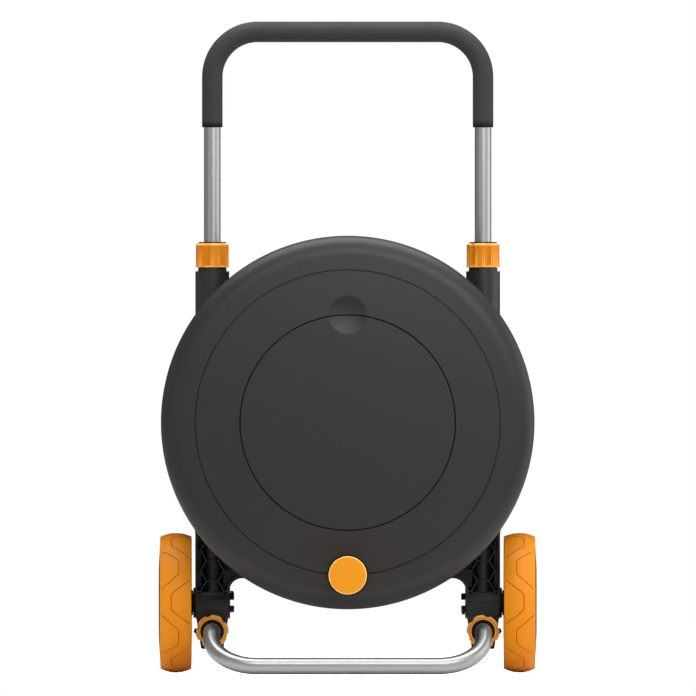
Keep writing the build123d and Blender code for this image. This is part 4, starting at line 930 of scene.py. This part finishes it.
@dataclass
class WindingKnob:
    """Waisted knob that stands on the disc under its middle."""

    face: ReelFace
    radius: float = 28.65 * MM
    waist: float = 25.5 * MM
    length: float = 48.0 * MM
    cap: float = 5.0 * MM
    clear: float = 0.3 * MM
    bevel: float = 1.5 * MM
    seam: float = 0.35 * MM
    crown: float = 0.35 * MM
    bore: float = 7.0 * MM
    pocket: float = 13.6 * MM
    pocket_depth: float = 8.0 * MM
    rounding: float = 0.5 * MM
    lap: float = 0.1 * MM
    seat_width: float = 3.0 * MM

    def build(self) -> None:
        """Makes grip, cap and the ring that the knob turns on, coloured near black as painted shade round the
        knob.

        The grip's side bows in to its waist by the square of the way from its middle, and the
        cap is a flat dome.
        """
        place = self.face.knob_place
        back = self.face.knob_height + self.clear
        front = back + self.length - self.cap
        share = np.linspace(-1, 1, 25)
        bow = self.waist + (self.radius - self.waist) * share**2
        side = np.stack([bow, (back + front) / 2 + share * (front - back) / 2], axis=1)
        side[-1, 0] -= self.seam
        floor = front - self.pocket_depth
        hollow = [[self.pocket, front], [self.pocket, floor], [self.bore, floor]]
        grip = np.concatenate([[[self.bore, back]], side, hollow])
        body = Skin().turned(grip, place, 128)
        body.finish(Part("winding_knob_grip", "knob", "knob_grip", ORANGE, bevel=self.rounding))
        end = back + self.length
        r = np.linspace(0, 1, 8) * (self.radius - self.bevel)
        crown = np.stack([r, end - self.crown * (r / self.radius) ** 2], axis=1)
        edge = arc((self.radius - self.bevel, end - self.crown - self.bevel), self.bevel, 80, 0, 6)
        under = front + self.lap
        low = np.array([[self.radius, front + self.seam], [self.radius - self.seam, under], [0, under]])
        profile = np.concatenate([crown, edge, low])
        # Painted highlight: the cap's bevelled rim gets the pale marked orange all round.
        painted_highlight = np.zeros(len(profile))
        painted_highlight[len(crown):len(crown) + len(edge)] = 1.0
        cap = Skin().turned(profile, place, 128, mark=painted_highlight)
        cap.finish(Part("winding_knob_cap", "knob", "knob_cap", ORANGE))
        # The seat ring wears the painted shade black, darker than the flange round it.
        top, radius = self.face.knob_height + self.lap, self.face.seat_radius + self.lap
        ring = self.face.bar(self.radius - self.seat_width, radius, top, top - 2 * self.face.seat_height)
        Skin().turned(ring, place, 128).finish(Part("knob_seat_ring", "reel", "front_flange", PAINTED_SEAT_SHADE))


# ---- Tubes ---------------------------------------------------------------------------------

@dataclass
class Tube:
    """Round tube bent along a path."""

    corners: Sequence[Sequence[float]]
    radii: Sequence[float]
    outer: float
    inner: float
    across: tuple[float, float, float]
    lip: float = 0.6 * MM
    # How strongly the rounded ends take the finish's marked colour as painted shade.
    painted_tip_shade: float = 0.0
    segments: int = 56
    step: float = 0.045
    longest: float = 12.0 * MM

    def skin(self) -> Skin:
        """Outside, rounded ends and inside as one closed grid.

        The path is worked out evenly in steps no longer than the longest, and closer at its ends,
        where the outside radius follows a quarter circle of the lip's size. The pattern
        coordinates wrap round the tube and run along it.

        Returns:
            The tube's skin.
        """
        path, way = bent_path(self.corners, self.radii, self.step)
        along = np.append(0, np.cumsum(np.linalg.norm(np.diff(path, axis=0), axis=1)))
        steps = [np.linspace(a, b, math.ceil((b - a) / self.longest) + 1) for a, b in zip(along, along[1:])]
        tip = self.lip * (1 - np.cos(np.linspace(0, math.pi / 2, 5)))[1:]
        places = np.unique(np.concatenate([*steps, tip, along[-1] - tip]))
        path, way = (
            np.stack([np.interp(places, along, row) for row in rows.T], axis=1) for rows in (path, way)
        )
        way /= np.linalg.norm(way, axis=1, keepdims=True)
        end = np.minimum(np.minimum(places, places[-1] - places) / self.lip, 1)
        radius = self.outer - self.lip * (1 - np.sqrt(1 - (1 - end) ** 2))
        side = np.array(self.across, float)
        out = sweep(path, way, radius, side, self.segments)
        back = sweep(path, way, np.full(len(path), self.inner), side, self.segments)[::-1]
        flow = around(self.outer, places[:, None], turn_angles(self.segments))
        # Painted shade on the rounded ends through the mark.
        tips = np.concatenate([self.painted_tip_shade * (end < 1), np.zeros(len(back))])[:, None]
        both = np.concatenate([flow, flow[::-1]])
        return Skin().grid(np.concatenate([out, back]), ring=True, mark=tips, flow=both)


@dataclass
class Handle:
    """Telescopic U handle: tube and soft sleeve."""

    radius: float = 12.5 * MM
    wall: float = 1.5 * MM
    bend: float = 68.0 * MM
    grip_radius: float = 15.5 * MM
    grip_lip: float = 1.2 * MM
    clear: float = 0.05 * MM

    def build(self) -> None:
        """Makes both from the CAD boxes' corners."""
        low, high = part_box("handle_tube")
        grip_low, grip_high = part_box("handle_grip")
        across = high.x - self.radius
        level, depth = grip_high.z - self.grip_radius, (low.y + high.y) / 2

        def corners(bottom: float) -> list[tuple[float, float, float]]:
            """Corner points of a U that ends at a height."""
            spots = ((-across, bottom), (-across, level), (across, level), (across, bottom))
            return [(x, depth, z) for x, z in spots]

        bends, side = [self.bend] * 2, (0, 1, 0)
        tube = Tube(corners(low.z), bends, self.radius, self.radius - self.wall, side)
        tube.skin().finish(Part("handle_tube_bright", "handle", "handle_tube", HANDLE_METAL))
        # The sleeve's rounded ends are painted shade in the grip's marked near-black.
        sleeve = Tube(corners(grip_low.z), bends, self.grip_radius, self.radius + self.clear, side,
                      lip=self.grip_lip, painted_tip_shade=1.0)
        sleeve.skin().finish(Part("handle_sleeve", "handle", "handle_grip", GRIP))


@dataclass
class Foot:
    """Telescopic U foot: two legs, two knees and the bar on the ground."""

    radius: float = 12.5 * MM
    wall: float = 1.5 * MM
    knee: float = 40.0 * MM
    corner: float = 67.5 * MM
    run: float = 4.0 * MM

    def build(self) -> None:
        """Makes the tube: each leg dips so that its bend runs on into the bar's corner."""
        low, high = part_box("foot_tube")
        across, bar = high.x - self.radius, low.y + self.radius
        socket, ground = high.z - self.radius, low.z + self.radius
        drop, run = socket - ground, self.run + self.corner
        angle = math.atan2(self.knee, run) + math.asin((drop - self.knee) / math.hypot(run, self.knee))
        knee = bar + (self.knee * math.tan(angle / 2) + run) * math.cos(angle)
        half = [(high.y, socket), (knee, socket), (bar, ground)]
        corners = [(-across, *spot) for spot in half] + [(across, *spot) for spot in half[::-1]]
        tilt = (0.0, math.sin(angle), -math.cos(angle))
        bends = [self.knee, self.corner, self.corner, self.knee]
        tube = Tube(corners, bends, self.radius, self.radius - self.wall, tilt)
        tube.skin().finish(Part("foot_tube_bright", "foot", "foot_tube", FOOT_METAL))


# ---- Twist locks ---------------------------------------------------------------------------

@dataclass
class TwistLock:
    """Six-lobed orange collar."""

    node: str
    body: str
    place: Place
    turn: float
    radius: float = 24.7 * MM
    lip_radius: float = 25.2 * MM
    lip: float = 2.4 * MM
    length: float = 36.3 * MM
    rounding: float = 4.4 * MM
    mouth: float = 17.8 * MM
    mouth_length: float = 4.1 * MM
    thread: float = 20.3 * MM
    flutes: int = 6
    flute_angle: float = 22.0
    flute_depth: float = 2.8 * MM
    flare: float = 0.4 * MM
    lip_slope: float = 0.9 * MM
    mouth_rim: float = 1.5 * MM
    bevel: float = 0.4 * MM

    @classmethod
    def on_handle(cls, side: Side) -> "TwistLock":
        """The collar round a handle tube: its lip below, its mouth upwards.

        Args:
            side: the cart's side.

        Returns:
            The collar.
        """
        piece = f"{side.word}_handle_collar"
        low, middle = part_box(piece)[0], centre_of(piece)
        place = Place((middle.x, middle.y, low.z), x=(float(side.value), 0.0, 0.0))
        return cls(piece, f"{side.word}_handle_twist", place, 48.0 * side.value)

    @classmethod
    def on_foot(cls, side: Side) -> "TwistLock":
        """The collar round a foot tube: its mouth to the front, its lobes out past its lip.

        Args:
            side: the cart's side.

        Returns:
            The collar.
        """
        piece = f"{side.word}_foot_collar"
        high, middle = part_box(piece)[1], centre_of(piece)
        place = Place((middle.x, high.y, middle.z), x=(float(side.value), 0.0, 0.0), z=(0.0, -1.0, 0.0))
        return cls(piece, f"{side.word}_foot_twist", place, 16.0 * side.value, lip_radius=22.9 * MM,
                   flute_depth=2.9 * MM)

    def outline(self) -> tuple[Array, Array]:
        """Angles and radii of the lobed outline.

        Each flute is the inside of a circle that cuts the collar at the flute's two edges and is
        its depth below the collar's radius in the middle. The angles include every flute's edges.

        Returns:
            The angles in radians and the radius at each.
        """
        half = math.radians(self.flute_angle / 2)
        across = np.linspace(-half, half, 13)
        rest = np.linspace(half, 2 * math.pi / self.flutes - half, 13)[1:-1]
        floor = self.radius - self.flute_depth
        gap = self.radius * math.cos(half) - floor
        ball = ((self.radius * math.sin(half)) ** 2 + gap**2) / (2 * gap)
        centre = floor + ball
        fluted = centre * np.cos(across) - np.sqrt(ball**2 - (centre * np.sin(across)) ** 2)
        one_angle = np.concatenate([across, rest])
        one_radius = np.concatenate([fluted, np.full(len(rest), self.radius)])
        starts = np.radians(self.turn + 360 / self.flutes * np.arange(self.flutes))
        return (starts[:, None] + one_angle).reshape(-1), np.tile(one_radius, self.flutes)

    def build(self) -> None:
        """Makes the collar: lip, lobes with a rounded front edge, conical mouth and bore."""
        angle, lobes = self.outline()
        quarter = np.linspace(0, math.pi / 2, 9)
        rounding = self.radius + self.flare - self.rounding * (1 - np.cos(quarter))
        height = self.length - self.rounding * (1 - np.sin(quarter))
        slope = self.lip_radius - self.lip_slope
        levels = np.concatenate([[0, 0, 0.4 * self.lip, self.lip, self.lip], height, [self.length]])
        lip = [self.thread, self.lip_radius, self.lip_radius, slope, 1.0]
        limit = np.concatenate([lip, rounding, [self.mouth]])
        outer = np.minimum(lobes, limit[:, None])
        outer[1:3] = self.lip_radius
        outer[3] = np.maximum(slope, lobes)
        inside = np.array([
            [self.mouth, self.length - self.mouth_rim], [self.thread, self.length - self.mouth_length],
            [self.thread, 0.0],
        ])
        rows = around(outer, levels[:, None], angle)
        # Painted highlights: the lip's sloped top, a band across the rounded front edge and the mouth's rim
        # get the pale marked orange.
        painted_highlight = np.zeros((len(levels) + len(inside), 1))
        painted_highlight[2:4, 0] = 0.6
        painted_highlight[len(levels) - 1 - len(quarter):len(levels) - 1, 0] = np.sin(2 * quarter)
        painted_highlight[len(levels) - 1:len(levels) + 1, 0] = 0.8
        surface = self.place.put(np.concatenate([rows, spin(inside, angle)]))
        part = Part(self.node + "_lobed", self.body, self.node, COLLAR_ORANGE, sharp=28.0, bevel=self.bevel)
        Skin().grid(surface, ring=True, mark=painted_highlight).finish(part)


# ---- Wheels --------------------------------------------------------------------------------

@dataclass
class Tyre:
    """Crowned tyre with tabs outlined by thin grooves, coming in from both edges in turn."""

    side: Side
    radius: float = 104.95 * MM
    width: float = 47.2 * MM
    drop: float = 4.5 * MM
    bead: float = 88.3 * MM
    land: float = 93.1 * MM
    rebate: float = 3.3 * MM
    tabs: int = 6
    flat: float = 6.5
    slant: float = 13.0
    inner_reach: float = 0.35
    outer_reach: float = 0.61
    groove: float = 1.7 * MM
    groove_depth: float = 1.1 * MM
    trench: tuple[tuple[float, float], ...] = ((-1, 0), (-0.55, 0.8), (0, 1), (0.55, 0.8), (1, 0))
    overrun: float = 0.04
    fade: float = 0.03
    margin: float = 0.002
    soften: int = 9
    first: float = 1.0
    columns: int = 720

    def line(self, angle: Array, first: float, edge: float, reach: float) -> Array:
        """Where a side's groove lies across the tyre, at each angle.

        The share of the width is the reach along the tab's front, then runs straight to the
        edge along its slanted sides, and lies just past the edge between tabs. A short moving
        mean round the wheel rounds the corners.

        Args:
            angle: angles in degrees.
            first: angle of the first tab's middle.
            edge: the edge that the tabs come from, as a share of the width.
            reach: how far the tab reaches, as a share of the width.

        Returns:
            Share of the width at each angle.
        """
        pitch = 360 / self.tabs
        off = np.abs((angle - first + pitch / 2) % pitch - pitch / 2)
        way = np.clip((off - self.flat) / self.slant, 0, 1.0)
        past = edge + (edge - reach) * self.overrun
        share = reach + (past - reach) * way
        kernel = np.hanning(self.soften)[1:-1]
        kernel /= kernel.sum()
        pad = len(kernel) // 2
        return np.convolve(np.concatenate([share[-pad:], share, share[:pad]]), kernel, "valid")

    def across(self, first: Array, second: Array) -> tuple[Array, Array]:
        """Rows across the tread that bend so that they follow both grooves.

        A groove is five rows of a rounded trench, kept as wide on its slants, that fades out near
        the edges. Plain rows stand evenly between.

        Args:
            first: share of the width along the groove nearer the first edge.
            second: the same along the other.

        Returns:
            Share of the width and share of the groove's depth, in rows of one value per column.
        """
        half, low = self.groove / 2 / self.width, np.zeros(self.columns)
        gap, arc_step = half * 3, self.width / (2 * math.pi / self.columns * self.radius)
        spots, deeps = np.array(self.trench, float).T[..., None]
        shares, depths = [low[None]], [low[None]]
        for start, end, count, line in (
            (low, np.maximum(first - gap, self.margin), 5, first),
            (first + gap, second - gap, 7, second),
            (np.minimum(second + gap, 1 - self.margin), low + 1, 5, None),
        ):
            shares.append(start + (end - start) * np.linspace(0, 1, count + 2)[1:-1, None])
            depths.append(np.zeros((count, self.columns)))
            if line is not None:
                wide = half * np.sqrt(1 + (np.gradient(line) * arc_step) ** 2)
                shares.append(line + wide * spots)
                depths.append(deeps * np.clip(np.minimum(line, 1 - line) / self.fade, 0, 1))
        share = np.concatenate([*shares, low[None] + 1])
        return np.clip(share, 0, 1), np.concatenate([*depths, low[None]])

    def build(self) -> None:
        """Makes the tyre from its tread, shoulders and bead."""
        sign, word = self.side.value, self.side.word
        low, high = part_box(f"{word}_tyre")
        middle = (low + high) / 2
        inner_face = low.x if sign > 0 else high.x
        place = Place((inner_face, middle.y, middle.z), x=(0.0, 0.0, 1.0), z=(sign, 0.0, 0.0))
        angle = np.arange(self.columns) * (360 / self.columns)
        start = sign * (90 - self.first)
        inner_line = self.line(angle, start, 0.0, 1 - self.inner_reach)
        outer_line = self.line(angle, start + 180 / self.tabs, 1.0, 1 - self.outer_reach)
        share, deep = self.across(np.minimum(inner_line, outer_line), np.maximum(inner_line, outer_line))
        wall = self.drop / 2
        tread = self.width - 2 * wall
        offset = (share - 0.5) * tread
        crown = ((tread / 2) ** 2 + self.drop**2) / (2 * self.drop)
        radius = self.radius - (crown - np.sqrt(crown**2 - offset**2)) - self.groove_depth * deep
        height = wall + share * tread
        turn = np.radians(angle)
        rows = around(radius, height, turn)
        shoulder, step = self.radius - self.drop, self.width - self.rebate
        far = spin(np.concatenate([
            arc((shoulder - wall, self.width - wall), wall, 0, 90, 5)[1:],
            [[self.land, self.width], [self.land, step], [self.bead, step], [self.bead, wall],
             [self.bead + wall, 0]],
            arc((shoulder - wall, wall), wall, -90, 0, 5)[:-1],
        ]), turn)
        # The groove depth is also the mark: the grooves are painted shade in the tyre's marked dark orange.
        marks = np.concatenate([deep, np.zeros(far.shape[:2])])
        skin_ = Skin().grid(place.put(np.concatenate([rows, far])), ring=True, mark=marks)
        skin_.finish(Part(f"{word}_tyre_treaded", f"{word}_wheel", f"{word}_tyre", TYRE_ORANGE, sharp=50.0))


# ---- Studio --------------------------------------------------------------------------------

@dataclass(frozen=True)
class Lamp:
    """Soft rectangular lamp that faces a point."""

    name: str
    place: tuple[float, float, float]
    aim: float
    size: tuple[float, float]
    power: float

    def hang(self) -> None:
        """Adds the lamp, turned towards its aim's height over the cart's middle."""
        data = bpy.data.lights.new(self.name, "AREA")
        data.shape, data.energy = "RECTANGLE", self.power
        data.size, data.size_y = self.size
        lamp = bpy.data.objects.new(self.name, data)
        lamp.location = self.place
        way = Vector((0.0, 0.0, self.aim)) - Vector(self.place)
        lamp.rotation_euler = way.to_track_quat("-Z", "Y").to_euler()
        bpy.context.scene.collection.objects.link(lamp)


LAMPS = (
    Lamp("key", (0.3, -1.6, 1.35), 0.45, (1.6, 0.5), 17.0),
    Lamp("front", (0.0, -2.8, 0.5), 0.45, (3.0, 1.6), 3.4),
    Lamp("front_right", (1.0, -2.4, 1.0), 0.45, (1.6, 1.2), 6.2),
    Lamp("above", (0.0, -0.1, 2.3), 0.5, (2.4, 1.4), 56.0),
    Lamp("right", (2.2, -1.0, 0.8), 0.4, (1.8, 1.6), 8.2),
    Lamp("right_back", (2.2, 0.3, 0.9), 0.4, (1.8, 1.6), 14.0),
    Lamp("left_back", (-2.2, 0.3, 0.9), 0.4, (1.8, 1.6), 2.2),
    Lamp("left", (-2.0, -1.9, 0.7), 0.4, (1.8, 1.4), 5.4),
)


@dataclass
class Studio:
    """White room, soft lamps and the camera straight in front."""

    view_width: float = 1.0405
    lens: float = 1650.0
    sensor: float = 36.0
    eye_height: float = 0.4881
    eye_across: float = 0.0005
    ambience: float = 0.28
    reflected: float = 0.28
    behind: float = 0.02
    far: tuple[float, float] = (0.55, 0.85)
    floor_front: float = -0.6
    floor_reach: float = 6.0
    clip: float = 300.0

    def world(self) -> None:
        """Grey surroundings for light, white where the eye or glass looks past everything.

        Reflections see the far side of the room dark, as behind a backdrop lit from the front.
        """
        world = bpy.data.worlds.new("white_room")
        bpy.context.scene.world = world
        world.use_nodes = True
        world.node_tree.nodes.clear()
        wires = Wiring(world.node_tree)
        path = wires.node("LightPath").outputs
        seen = wires.maths("MAXIMUM", path["Is Camera Ray"], path["Is Transmission Ray"])
        way = wires.node("SeparateXYZ", {0: wires.node("TexCoord").outputs["Generated"]}).outputs["Y"]
        mirrored = wires.span(way, *self.far, self.reflected, self.behind)
        plain = wires.span(path["Is Glossy Ray"], 0.0, 1.0, self.ambience, mirrored)
        strength = wires.span(seen, 0.0, 1.0, plain, 1.0)
        back = wires.node("Background", {"Color": (1.0, 1.0, 1.0, 1.0), "Strength": strength})
        wires.node("OutputWorld", {"Surface": back.outputs[0]})

    def floor(self) -> None:
        """Large pale floor."""
        mesh = bpy.data.meshes.new("studio_floor")
        near, far = self.floor_front, self.floor_reach
        mesh.from_pydata([(-far, near, 0), (far, near, 0), (far, far, 0), (-far, far, 0)], [], [(0, 1, 2, 3)])
        floor = bpy.data.objects.new("studio_floor", mesh)
        bpy.context.scene.collection.objects.link(floor)
        made = bpy.data.materials.new("studio_white")
        made.use_nodes = True
        wires = Wiring(made.node_tree)
        shader = made.node_tree.nodes["Principled BSDF"]
        for key, value in (
            ("Base Color", (0.95, 0.95, 0.95, 1.0)), ("Roughness", 0.9), ("Specular IOR Level", 0.0),
            ("Emission Color", (1.0, 1.0, 1.0, 1.0)),
            ("Emission Strength", wires.node("LightPath").outputs["Is Camera Ray"]),
        ):
            wires.join(value, shader.inputs[key])
        mesh.materials.append(made)

    def camera(self) -> None:
        """Long lens, level, at the height of the view's middle."""
        data = bpy.data.cameras.new("front_camera")
        data.lens, data.sensor_width, data.clip_end = self.lens, self.sensor, self.clip
        eye = bpy.data.objects.new("front_camera", data)
        distance = self.view_width * self.lens / self.sensor
        eye.location = (self.eye_across, CAD_BOX[0][1] - distance, self.eye_height)
        eye.rotation_euler = (math.pi / 2, 0.0, 0.0)
        bpy.context.scene.collection.objects.link(eye)
        bpy.context.scene.camera = eye

    def build(self) -> None:
        """Makes room, lamps and camera."""
        bpy.context.scene.view_settings.view_transform = "Standard"
        self.world()
        self.floor()
        self.camera()
        for lamp in LAMPS:
            lamp.hang()


# ---- The cart ------------------------------------------------------------------------------

# Body, finish and nodes of the pieces that keep their CAD surface.
PLAIN = (
    ("frame", FRAME_BLACK, "rear_frame"),
    ("frame", DEEP_BLACK, "foot_stop_screws reel_axle"),
    ("frame", STEEL, "axle_screws axle_washer axle_bolt"),
    ("frame", DEEP_BLACK, "inlet_elbow"),
    ("frame", ORANGE, "inlet_nipple"),
    ("frame", RUBBER, "inlet_seal"),
    ("frame", DEEP_BLACK, "left_handle_collet right_handle_collet left_foot_collet right_foot_collet"),
    ("frame", DEEP_BLACK, "left_axle_bush right_axle_bush"),
    ("reel", REEL_BLACK, "rear_flange hose_drum"),
    ("reel", DEEP_BLACK, "storage_bowl"),
    ("reel", STEEL, "front_screws rear_screws"),
    ("reel", ACETAL, "rear_bush front_bush"),
    ("reel", RUBBER, "axle_seals"),
    ("reel", DEEP_BLACK, "feed_pipe hose_outlet"),
    ("reel", STEEL, "knob_spindle spindle_nut"),
    ("handle", ACETAL, "handle_glides"),
    ("foot", DEEP_BLACK, "foot_plugs"),
    ("left_wheel", DEEP_BLACK, "left_wheel_hub left_wheel_cap left_axle_stub"),
    ("right_wheel", DEEP_BLACK, "right_wheel_hub right_wheel_cap right_axle_stub"),
)


def main() -> None:
    """Builds every piece in order."""
    logging.basicConfig(level=logging.INFO, format="%(name)s: %(message)s")
    face = ReelFace()
    face.build()
    WindingKnob(face).build()
    Handle().build()
    Foot().build()
    for side in Side:
        TwistLock.on_handle(side).build()
        TwistLock.on_foot(side).build()
        Tyre(side).build()
    for body, finish, nodes in PLAIN:
        for part in nodes.split():
            refined(part, body, finish)
    Studio().build()


if __name__ == "__main__":
    main()
